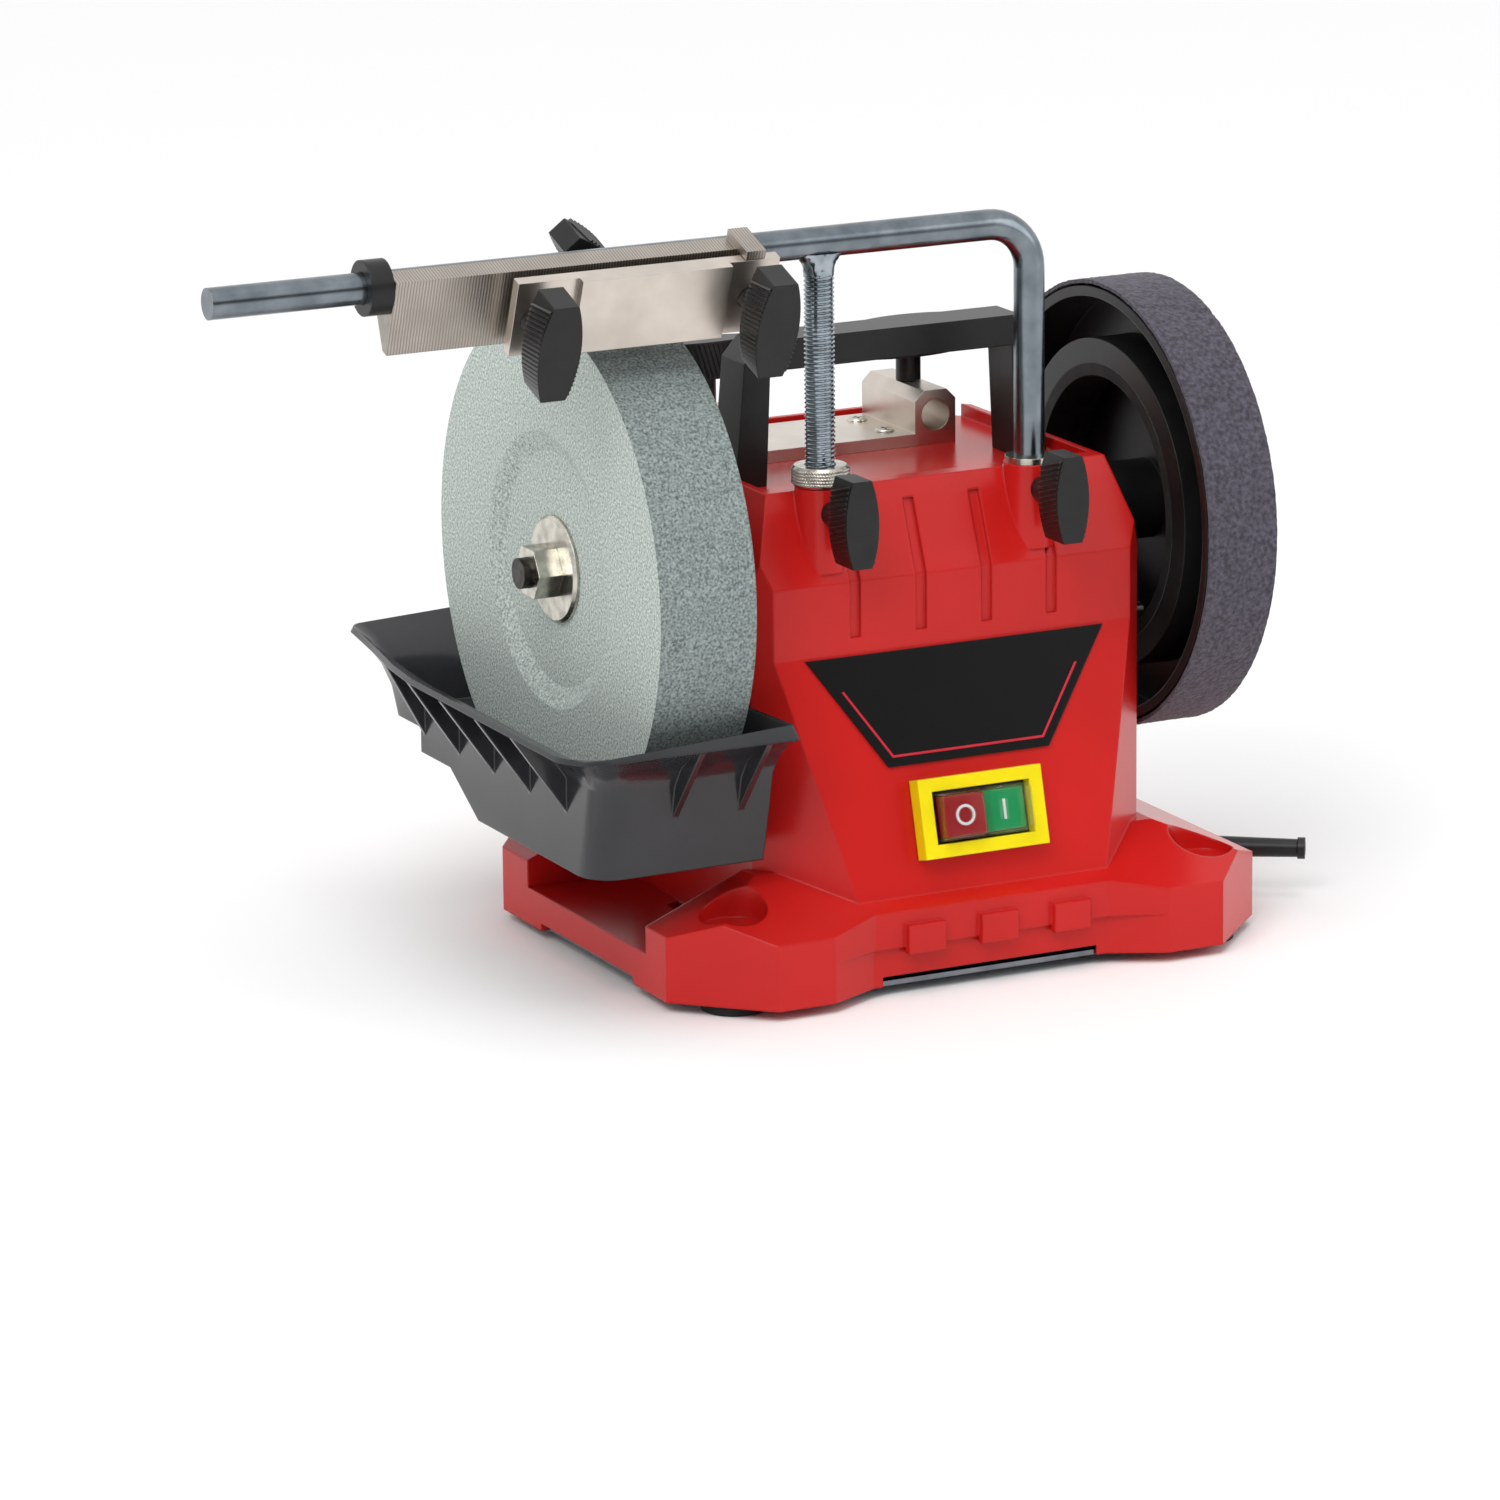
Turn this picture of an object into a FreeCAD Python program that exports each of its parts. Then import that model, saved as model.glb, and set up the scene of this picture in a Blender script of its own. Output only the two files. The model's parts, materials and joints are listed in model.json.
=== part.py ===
"""Wet grinding sharpener: grinding stone, honing wheel, tool support with jig, water tray and motor.

Frame: X runs along the spindle towards the honing wheel, the front with the switch faces -Y, +Z is up.
The origin is the middle of the four bench holes, on the surface that the rubber feet stand on.
"""
import FreeCAD, Part
import math
import os
import Sketcher

Vector = FreeCAD.Vector
X_AXIS = Vector(1, 0, 0)
Y_AXIS = Vector(0, 1, 0)
Z_AXIS = Vector(0, 0, 1)

doc = FreeCAD.newDocument("wet_grinding_sharpener")
sheet = doc.addObject("Spreadsheet::Sheet", "Sizes")


class Dim:
    """A length or angle that keeps its number and the sheet expression that makes it."""

    def __init__(self, text, value):
        self.text = text
        self.value = value

    def __add__(self, other):
        other = as_dim(other)
        return Dim(f"({self.text} + {other.text})", self.value + other.value)

    def __sub__(self, other):
        other = as_dim(other)
        return Dim(f"({self.text} - {other.text})", self.value - other.value)

    def __mul__(self, other):
        other = as_dim(other)
        return Dim(f"({self.text} * {other.text})", self.value * other.value)

    def __truediv__(self, other):
        other = as_dim(other)
        return Dim(f"({self.text} / {other.text})", self.value / other.value)

    def __neg__(self):
        return Dim(f"(0 - {self.text})", -self.value)

    def __radd__(self, other):
        return as_dim(other) + self

    def __rsub__(self, other):
        return as_dim(other) - self

    def __rmul__(self, other):
        return as_dim(other) * self


def as_dim(number):
    """A plain number as a Dim."""
    return number if isinstance(number, Dim) else Dim(repr(float(number)), float(number))


def tangent(angle):
    """Tangent of an angle held in degrees."""
    return Dim(f"tan({angle.text})", math.tan(math.radians(angle.value)))


def cosine(angle):
    """Cosine of an angle held in degrees."""
    return Dim(f"cos({angle.text})", math.cos(math.radians(angle.value)))


def sine(angle):
    """Sine of an angle held in degrees."""
    return Dim(f"sin({angle.text})", math.sin(math.radians(angle.value)))


rows = 0


def size(alias, value):
    """Put one driving dimension in the sheet and return it."""
    global rows
    rows += 1
    sheet.set(f"A{rows}", alias)
    sheet.set(f"B{rows}", str(value))
    sheet.setAlias(f"B{rows}", alias)
    return Dim(f"Sizes.{alias}", float(value))


# Clearances and common walls
slip = size("slip_gap", 0.3)
running = size("running_gap", 0.05)
wall = size("housing_wall", 3)
overlap = size("weld_depth", 1)

# Feet, base and bench holes
foot_height = size("foot_height", 4)
foot_radius = size("foot_radius", 13)
bench_x = size("bench_hole_half_x", 103)
bench_y = size("bench_hole_half_y", 73)
bench_hole = size("bench_hole_radius", 3.25)
base_half = size("base_half_length", 129.5)
base_deep = size("base_half_depth", 100)
base_edge = size("base_edge_height", 30)
base_roof = size("base_roof_height", 47)
front_corner = size("front_corner_cut", 32)
back_corner = size("back_corner_cut", 18)
channel_floor = size("channel_floor_height", 19)
channel_front = size("channel_front", 50)
channel_back = size("channel_back", 58)
lobe_half = size("lobe_front_half", 73)
skirt_half = size("skirt_half_length", 51)
skirt_depth = size("skirt_recess", 9)
skirt_arch = size("skirt_arch_rise", 4)
skirt_ledge = size("skirt_ledge_height", 19.5)
skirt_ledge_depth = size("skirt_ledge_depth", 2)
skirt_block = size("skirt_block_width", 16)
skirt_block_gap = size("skirt_block_pitch", 32)
skirt_block_foot = size("skirt_block_foot", 17)
skirt_block_top = size("skirt_block_top", 28.5)
skirt_block_centre = size("skirt_block_centre", 2)
pocket_radius = size("pocket_radius", 13)
pocket_floor = size("pocket_floor_height", 32)
column_radius = size("bench_column_radius", 8)
inner_ceiling = size("base_inner_ceiling", 16)
plate_thick = size("bottom_plate_thickness", 2)
plate_screw_x = size("plate_screw_half_x", 70)
plate_screw_y = size("plate_screw_half_y", 78)
plate_screw = size("plate_screw_radius", 2)

# Tower of the housing
tower_half = size("tower_half_width", 85)
deck_half = size("deck_half_width", 74)
deck_height = size("deck_height", 193)
deck_floor = size("deck_floor_height", 188)
deck_rim = size("deck_rim_width", 3)
deck_ridge = size("deck_ridge_width", 8)
deck_front = size("deck_front", 46)
shelf_front = size("shelf_front", 49)
shelf_height = size("shelf_height", 186)
bend_height = size("front_bend_height", 158)
lean_height = size("front_lean_height", 130)
tower_front = size("tower_front", 60)
tower_back = size("tower_back", 82)
front_lean = size("front_lean_angle", 14.6)
corner_reach = size("tower_corner_reach", 138)
groove_count = 4
groove_pitch = size("groove_pitch", 28.6)
groove_width = size("groove_width", 4.5)
groove_depth = size("groove_depth", 1.5)
groove_foot = size("groove_foot_height", 136)

# Spindle, stone and honing wheel
spindle_height = size("spindle_height", 162)
shaft_radius = size("shaft_radius", 6)
stone_radius = size("stone_radius", 100)
stone_width = size("stone_width", 40)
stone_face = size("stone_face", 145)
dish_radius = size("stone_dish_radius", 54)
dish_floor_radius = size("stone_dish_floor_radius", 46)
dish_depth = size("stone_dish_depth", 4)
washer_radius = size("washer_radius", 21)
washer_thick = size("washer_thickness", 2.5)
nut_flats = size("nut_across_flats", 19)
nut_height = size("nut_height", 10)
shaft_tip = size("shaft_tip_length", 4)
flange_radius = size("flange_radius", 30)
flange_thick = size("flange_thickness", 6)
bearing_radius = size("bearing_radius", 11)
bearing_length = size("bearing_length", 14)
bearing_flange = size("bearing_flange_radius", 14)
bearing_lip = size("bearing_lip", 2.5)
bearing_boss = size("bearing_boss_radius", 18)
hone_face = size("hone_face", 97)
hone_width = size("hone_width", 30)
hone_radius = size("hone_radius", 90)
band_thick = size("band_thickness", 3)
rim_thick = size("hub_rim_thickness", 4)
web_thick = size("hub_web_thickness", 4)
web_inset = size("hub_web_inset", 4)
ring_outer = size("drive_wall_radius", 66)
ring_wall = size("drive_wall_thickness", 10)
ring_inner = size("friction_ring_radius", 51)
ring_inset = size("drive_wall_inset", 2)
hub_core = size("hub_core_radius", 16)

# Motor
pinion_radius = size("pinion_radius", 4.4)
motor_radius = size("motor_radius", 37)
motor_length = size("motor_length", 56)
motor_bore = size("motor_bore_radius", 22)
motor_air_gap = size("motor_air_gap", 0.5)
motor_shift = size("motor_shift", 18)
shield_thick = size("end_shield_thickness", 12)
motor_bearing = size("motor_bearing_radius", 9)
motor_bearing_length = size("motor_bearing_length", 8)
motor_shaft = size("motor_shaft_radius", 4)
bracket_thick = size("bracket_thickness", 3)
bracket_foot = size("bracket_foot_half_depth", 34)
capacitor_radius = size("capacitor_radius", 14)
capacitor_length = size("capacitor_length", 52)

# Tool support
support_y = size("support_y", 50)
rod_x = size("threaded_rod_x", 52.5)
leg_x = size("plain_leg_x", 38.5)
bar_radius = size("bar_radius", 6)
bar_height = size("bar_height", 289.5)
bar_reach = size("bar_reach", 302.5)
bar_bend = size("bar_bend_radius", 18)
leg_depth = size("leg_depth", 76)
boss_radius = size("rod_boss_radius", 10)
boss_height = size("rod_boss_height", 195)
bush_radius = size("rod_bush_radius", 8)
bush_length = size("rod_bush_length", 30)
bush_flange = size("rod_bush_flange_radius", 9.5)
bush_lip = size("rod_bush_lip", 2.5)
thumb_radius = size("thumb_nut_radius", 11.4)
thumb_height = size("thumb_nut_height", 8)
weld_radius = size("weld_radius", 8)

# Wing knobs
knob_length = size("knob_length", 34)
knob_width = size("knob_width", 14)
knob_end = size("knob_end_width", 8)
knob_depth = size("knob_depth", 15)
knob_neck = size("knob_neck_radius", 5)
knob_neck_length = size("knob_neck_length", 10)
knob_screw = size("knob_screw_radius", 2.9)
knob_screw_gap = size("knob_screw_gap", 0.4)
lock_drop = size("lock_knob_drop", 9)
jig_knob_length = size("jig_knob_length", 40)
jig_knob_width = size("jig_knob_width", 17)
jig_knob_end = size("jig_knob_end_width", 10)

# Carrying handle
handle_x = size("handle_x", -2)
handle_y = size("handle_y", -3)
handle_deep = size("handle_depth", 20)
handle_top = size("handle_top", 245)
handle_under = size("handle_underside", 233)
handle_corner = size("handle_corner_half", 57)
handle_shoulder = size("handle_shoulder_half", 64)
handle_shoulder_z = size("handle_shoulder_height", 237)
handle_inner_top = size("handle_inner_half", 53)
handle_inner = size("handle_inner_foot_half", 55)
handle_foot = size("handle_foot_half", 68.5)
handle_web = size("handle_web", 3)
handle_screw = size("handle_screw_radius", 2.2)

# Sleeve block for the level support position
block_front = size("block_front", 24)
block_deep = size("block_depth", 46)
block_bore_x = size("block_bore_x", 36.5)
block_bore = size("block_bore_radius", 6.2)
block_bore_rise = size("block_bore_rise", 12)
block_boss_half = size("block_boss_half_width", 9)
block_boss_rise = size("block_boss_rise", 22)
block_boss_cut = size("block_boss_corner", 4)
block_plate = size("block_plate_thickness", 5)
block_screw_inset = size("block_screw_inset", 16)
block_screw = size("block_screw_radius", 2.5)
block_screw_head = size("block_screw_head_radius", 4.2)

# Jig on the bar, measured from the bar axis, with the jig upright
jig_lean = size("jig_lean_angle", 20.6)
jig_left = size("jig_left", 232)
jig_long = size("jig_length", 150)
jig_front = size("jig_front", 9.3)
jig_top = size("jig_top", 6.5)
jig_drop = size("jig_drop", 24.5)
jig_back = size("jig_back", 8.5)
jig_edge = size("jig_edge_width", 3.8)
jig_ring_radius = size("jig_ring_radius", 10.5)
jig_ring_length = size("jig_ring_length", 9)
clamp_gap = size("clamp_gap", 4.6)
clamp_left = size("clamp_left", 186.5)
clamp_long = size("clamp_length", 108)
clamp_thin = size("clamp_end_thickness", 4.5)
clamp_raise = size("clamp_middle_raise", 3)
clamp_end_left = size("clamp_left_recess", 25)
clamp_end_right = size("clamp_right_recess", 21)
clamp_knob_inset = size("clamp_knob_inset", 8)
clamp_knob_pitch = size("clamp_knob_pitch", 90)
clamp_knob_drop = size("clamp_knob_drop", 10)
lock_screw_x = size("jig_lock_x", 135)
lock_screw_drop = size("jig_lock_drop", 14)
lock_knob_turn = size("jig_lock_knob_angle", 45)
stop_width = size("square_stop_width", 8)
stop_height = size("square_stop_height", 4)
stop_inset = size("square_stop_inset", 3)

# Water tray
tray_left = size("tray_left", 162)
tray_flare = size("tray_flare", 7)
tray_right = size("tray_right", 91)
tray_wall = size("tray_wall", 2.5)
tray_top = size("tray_top", 112)
tray_floor = size("tray_floor", 57.5)
tray_front = size("tray_front", 106)
tray_front_foot = size("tray_front_foot", 78)
tray_deep_end = size("tray_deep_end", 30)
tray_step = size("tray_step", 56)
tray_step_height = size("tray_step_height", 73)
tray_shallow_end = size("tray_shallow_end", 84)
tray_shallow_height = size("tray_shallow_height", 83)
tray_back_foot = size("tray_back_foot", 112)
tray_back = size("tray_back", 138)
tray_lip = size("tray_lip", 4)
tray_lip_thick = size("tray_lip_thickness", 2)
gusset_height = size("tray_gusset_height", 20)
gusset_thick = size("tray_gusset_thickness", 3)
side_gussets = 5
side_gusset_first = size("side_gusset_first", 62)
side_gusset_pitch = size("side_gusset_pitch", 36)
front_gussets = 2
front_gusset_first = size("front_gusset_first", 148)
front_gusset_pitch = size("front_gusset_pitch", 28)
tail_narrow = size("tray_tail_narrow_half", 8)
tail_wide = size("tray_tail_wide_half", 11)
tail_deep = size("tray_tail_depth", 5)
tail_low = size("tray_tail_bottom", 66)
tail_high = size("tray_tail_top", 110)
guide_half = size("tray_guide_half", 17)
guide_low = size("tray_guide_bottom", 70)

# Switch and badge on the leaning front
switch_height = size("switch_height", 65)
switch_half = size("switch_frame_half_width", 27)
switch_tall = size("switch_frame_half_height", 15.5)
switch_proud = size("switch_frame_proud", 7)
switch_wall = size("switch_frame_wall", 5)
switch_body_half = size("switch_body_half_width", 21)
switch_body_tall = size("switch_body_half_height", 10)
switch_body_deep = size("switch_body_depth", 26)
cover_wall = size("switch_cover_wall", 0.8)
cover_proud = size("switch_cover_proud", 13)
button_half = size("button_half_width", 8.6)
button_tall = size("button_half_height", 8)
button_gap = size("button_gap", 2)
stop_proud = size("stop_button_proud", 10)
start_proud = size("start_button_proud", 6)
badge_top_half = size("badge_top_half", 65)
badge_foot_half = size("badge_foot_half", 35)
badge_drop = size("badge_below_lean", 1)
badge_tall = size("badge_height", 43)
badge_thick = size("badge_thickness", 0.8)

# Cord bend sleeve
sleeve_y = size("cord_sleeve_y", 18)
sleeve_z = size("cord_sleeve_height", 20)
sleeve_length = size("cord_sleeve_length", 44)
sleeve_root = size("cord_sleeve_root_radius", 4.4)
sleeve_tip = size("cord_sleeve_tip_radius", 3.6)
sleeve_bore = size("cord_sleeve_bore_radius", 2.8)
sleeve_bead = size("cord_sleeve_bead_radius", 4.4)
sleeve_swing = size("cord_sleeve_swing", 34)
sleeve_collar = size("cord_collar_radius", 7)
doc.recompute()

# Places worked out from the driving dimensions
tower_foot = tower_front + tangent(front_lean) * (lean_height - base_edge)
motor_height = spindle_height - (ring_inner - pinion_radius - running)
clamp_thick = clamp_thin + clamp_raise
clamp_back = jig_front + clamp_gap
plate_bottom = foot_height
badge_top = lean_height - badge_drop
badge_foot = badge_top - badge_tall

nodes = []


def bind(obj, prop, amount):
    """Tie one property to the sheet."""
    obj.setExpression(prop, as_dim(amount).text)


def place(obj, x=0, y=0, z=0, axis=Z_AXIS, angle=0):
    """Put an object at a point, turned about an axis, with each number tied to the sheet."""
    turn = as_dim(angle)
    obj.Placement = FreeCAD.Placement(Vector(0, 0, 0), FreeCAD.Rotation(axis, turn.value))
    for prop, amount in (("x", x), ("y", y), ("z", z)):
        bind(obj, f"Placement.Base.{prop}", amount)
    if isinstance(angle, Dim):
        bind(obj, "Placement.Rotation.Angle", angle)
    return obj


def node(label, obj):
    """Name a finished sub-part."""
    obj.Label = label
    nodes.append(obj)
    return obj


def block(name, low, high):
    """A box between two corners."""
    box = doc.addObject("Part::Box", name)
    for prop, start, end in zip(("Length", "Width", "Height"), low, high):
        bind(box, prop, as_dim(end) - start)
    return place(box, *low)


def rod(name, radius, length, x, y, z, along="Z"):
    """A round bar that starts at a point and runs along a positive axis."""
    bar = doc.addObject("Part::Cylinder", name)
    bind(bar, "Radius", radius)
    bind(bar, "Height", length)
    turns = {"X": (Y_AXIS, 90), "Y": (X_AXIS, -90), "Z": (Z_AXIS, 0)}
    axis, angle = turns[along]
    return place(bar, x, y, z, axis, angle)


def cut(name, base, *tools):
    """One shape less others."""
    result = doc.addObject("Part::Cut", name)
    result.Base = base
    result.Tool = tools[0] if len(tools) == 1 else group(name + "_tools", *tools)
    return result


def fuse(name, *items):
    """Shapes joined to one solid."""
    result = doc.addObject("Part::MultiFuse", name)
    result.Shapes = list(items)
    result.Refine = True
    return result


def common(name, *items):
    """What several shapes share."""
    result = doc.addObject("Part::MultiCommon", name)
    result.Shapes = list(items)
    return result


def group(name, *items):
    """Separate solids kept together."""
    result = doc.addObject("Part::Compound", name)
    result.Links = list(items)
    return result


def profile(body, plane, outline):
    """A closed sketch whose corners are tied to the sheet.

    Each corner is (u, v). A corner with four numbers starts an arc through (third, fourth).
    """
    support = [feature for feature in body.Origin.OriginFeatures if feature.Role == plane][0]
    sketch = body.newObject("Sketcher::SketchObject", body.Name + "_sketch")
    sketch.AttachmentSupport = [(support, "")]
    sketch.MapMode = "FlatFace"
    corners = [[as_dim(number) for number in corner] for corner in outline]
    points = [Vector(corner[0].value, corner[1].value, 0) for corner in corners]
    ends = []
    for index, corner in enumerate(corners):
        start = points[index]
        end = points[(index + 1) % len(points)]
        if len(corner) == 2:
            sketch.addGeometry(Part.LineSegment(start, end))
            ends.append((1, 2))
        else:
            middle = Vector(corner[2].value, corner[3].value, 0)
            curve = Part.Arc(start, middle, end)
            number = sketch.addGeometry(curve)
            forward = sketch.Geometry[number].StartPoint.distanceToPoint(start) < 1e-6
            ends.append((1, 2) if forward else (2, 1))
    for index in range(len(corners)):
        after = (index + 1) % len(corners)
        sketch.addConstraint(Sketcher.Constraint("Coincident", index, ends[index][1], after, ends[after][0]))
    for index, corner in enumerate(corners):
        pin(sketch, index, ends[index][0], corner[0], corner[1])
        if len(corner) == 4:
            dot = sketch.addGeometry(Part.Point(Vector(corner[2].value, corner[3].value, 0)), True)
            sketch.addConstraint(Sketcher.Constraint("PointOnObject", dot, 1, index))
            pin(sketch, dot, 1, corner[2], corner[3])
    return sketch


def pin(sketch, geometry, end, across, up):
    """Hold one sketch point at its distances from the sketch's origin."""
    for kind, amount in (("DistanceX", across), ("DistanceY", up)):
        number = sketch.addConstraint(Sketcher.Constraint(kind, -1, 1, geometry, end, amount.value))
        sketch.setExpression(f"Constraints[{number}]", amount.text)


def padded(name, plane, outline, length, symmetric=False, back=False):
    """A profile pushed out to a length."""
    body = doc.addObject("PartDesign::Body", name)
    sketch = profile(body, plane, outline)
    pad = body.newObject("PartDesign::Pad", name + "_pad")
    pad.Profile = sketch
    bind(pad, "Length", length)
    pad.SideType = "Symmetric" if symmetric else "One side"
    pad.Reversed = back
    return body


def turned(name, outline):
    """A profile of (distance along X, radius) turned about the X axis."""
    body = doc.addObject("PartDesign::Body", name)
    sketch = profile(body, "XZ_Plane", outline)
    turn = body.newObject("PartDesign::Revolution", name + "_turn")
    turn.Profile = sketch
    turn.ReferenceAxis = (sketch, ["H_Axis"])
    return body


def four(make, half_x, half_y, x=0, y=0):
    """The same piece at the four corners of a rectangle."""
    signs = [(-1, -1), (1, -1), (1, 1), (-1, 1)]
    return [make(number, x + sx * half_x, y + sy * half_y) for number, (sx, sy) in enumerate(signs)]


def base_outline(inset, front_inset):
    """Plan of the base, drawn in by an inset, and by another one along the front."""
    half = base_half - inset
    deep = base_deep - inset
    near = -base_deep + front_inset
    front = front_corner - inset * 0.6
    slant = front - front_inset + inset
    back = back_corner - inset * 0.6
    return [
        (-half + slant, near), (half - slant, near), (half, -deep + front), (half, deep - back),
        (half - back, deep), (-half + back, deep), (-half, deep - back), (-half, -deep + front),
    ]


def skirt_outline(top):
    """Plan of the space in front of the skirt, between the two front lobes."""
    return [
        (-lobe_half, -base_deep), (-lobe_half, -base_deep - overlap), (lobe_half, -base_deep - overlap),
        (lobe_half, -base_deep), (skirt_half, -base_deep + skirt_depth + top),
        (-skirt_half, -base_deep + skirt_depth + top),
    ]


def tower_solid(name, inset, low, high):
    """The tower's outer form, or its hollow when inset is the wall."""
    front = padded(name + "_front", "YZ_Plane", [
        (-tower_foot + inset, low), (-tower_front + inset, lean_height), (-tower_front + inset, bend_height),
        (-shelf_front + inset, shelf_height - inset), (-deck_front + inset, high),
        (tower_back - inset, high), (tower_back - inset, low),
    ], tower_half * 2, symmetric=True)
    side = padded(name + "_side", "XZ_Plane", [
        (-tower_half + inset, low), (tower_half - inset, low), (tower_half - inset, bend_height),
        (deck_half - inset, high), (-deck_half + inset, high), (-tower_half + inset, bend_height),
    ], base_deep * 2, symmetric=True)
    half = tower_half - inset
    reach = corner_reach - inset * 1.4
    deep = tower_foot
    plan = padded(name + "_plan", "XY_Plane", [
        (-(reach - deep), -deep), (reach - deep, -deep), (half, -(reach - half)), (half, reach - half),
        (reach - deep, deep), (-(reach - deep), deep), (-half, reach - half), (-half, -(reach - half)),
    ], deck_height)
    return common(name, front, side, plan)


def front_frame(obj, height, proud=0):
    """Set a piece on the leaning front panel; its own X is across, Y into the panel, Z up the panel."""
    y = -tower_front - tangent(front_lean) * (lean_height - height)
    return place(obj, 0, y, height, X_AXIS, -front_lean)


def build_base():
    """Low base with four corner lobes that rise to the tower."""
    plan = padded("base_plan", "XY_Plane", base_outline(as_dim(0), as_dim(0)), base_roof)
    skirt = block("base_skirt", (-base_half, -base_deep, foot_height), (base_half, base_deep, base_edge))
    roof = doc.addObject("Part::Wedge", "base_roof")
    top_half = tower_half + wall
    top_front = tower_front
    for prop, amount in (
        ("Xmin", -base_half), ("Xmax", base_half), ("Zmin", -base_deep), ("Zmax", base_deep),
        ("X2min", -top_half), ("X2max", top_half), ("Z2min", -tower_front), ("Z2max", top_front),
        ("Ymin", 0), ("Ymax", base_roof - base_edge),
    ):
        bind(roof, prop, amount)
    place(roof, 0, 0, base_edge, X_AXIS, 90)
    body = common("base_form", plan, fuse("base_hip", skirt, roof))
    channel = block("channel", (-base_half - overlap, -channel_front, channel_floor),
                    (-tower_half, channel_back, base_roof + overlap))
    recess = padded("skirt_recess", "XY_Plane", skirt_outline(as_dim(0)), base_roof + overlap)
    ledge = padded("skirt_ledge", "XY_Plane", skirt_outline(skirt_ledge_depth), skirt_ledge)
    arch = block("skirt_arch", (-skirt_half + skirt_arch, -base_deep, 0),
                 (skirt_half - skirt_arch, -base_deep + skirt_depth + wall, foot_height + skirt_arch))
    side_arch = block("side_arch", (-base_half - overlap, -channel_front + wall * 4, 0),
                      (-base_half + wall * 2, channel_back - wall * 4, foot_height + skirt_arch * 0.75))
    pockets = four(lambda n, x, y: rod(f"pocket_{n}", pocket_radius, base_roof, x, y, pocket_floor),
                   bench_x, bench_y)
    return cut("base_cut", body, channel, recess, ledge, arch, side_arch, *pockets)


def build_skirt_blocks():
    """Three small blocks on the front skirt."""
    blocks = []
    for number in range(3):
        x = skirt_block_centre + (number - 1) * skirt_block_gap
        blocks.append(block(f"skirt_block_{number}",
                            (x - skirt_block / 2, -base_deep + skirt_depth * 0.7, skirt_block_foot),
                            (x + skirt_block / 2, -base_deep + skirt_depth + overlap, skirt_block_top)))
    return blocks


def build_grooves():
    """Upright grooves down the front of the tower."""
    grooves = []
    for number in range(groove_count):
        groove = padded(f"groove_{number}", "YZ_Plane", [
            (-tower_front - overlap, groove_foot), (-tower_front + groove_depth, groove_foot),
            (-tower_front + groove_depth, bend_height), (-shelf_front + groove_depth, shelf_height),
            (-tower_front - overlap, shelf_height),
        ], groove_width)
        place(groove, groove_pitch * (number - (groove_count - 1) / 2) - groove_width / 2, 0, 0)
        grooves.append(groove)
    return grooves


def tail_outline(play, extra):
    """Dovetail plan, from the tray wall towards the tower."""
    start = -tray_right - extra
    end = -tray_right + tail_deep + play
    narrow = tail_narrow + play * 2
    wide = tail_wide + play * 2
    return [(start, -narrow), (end, -wide), (end, wide), (start, narrow)]


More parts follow.
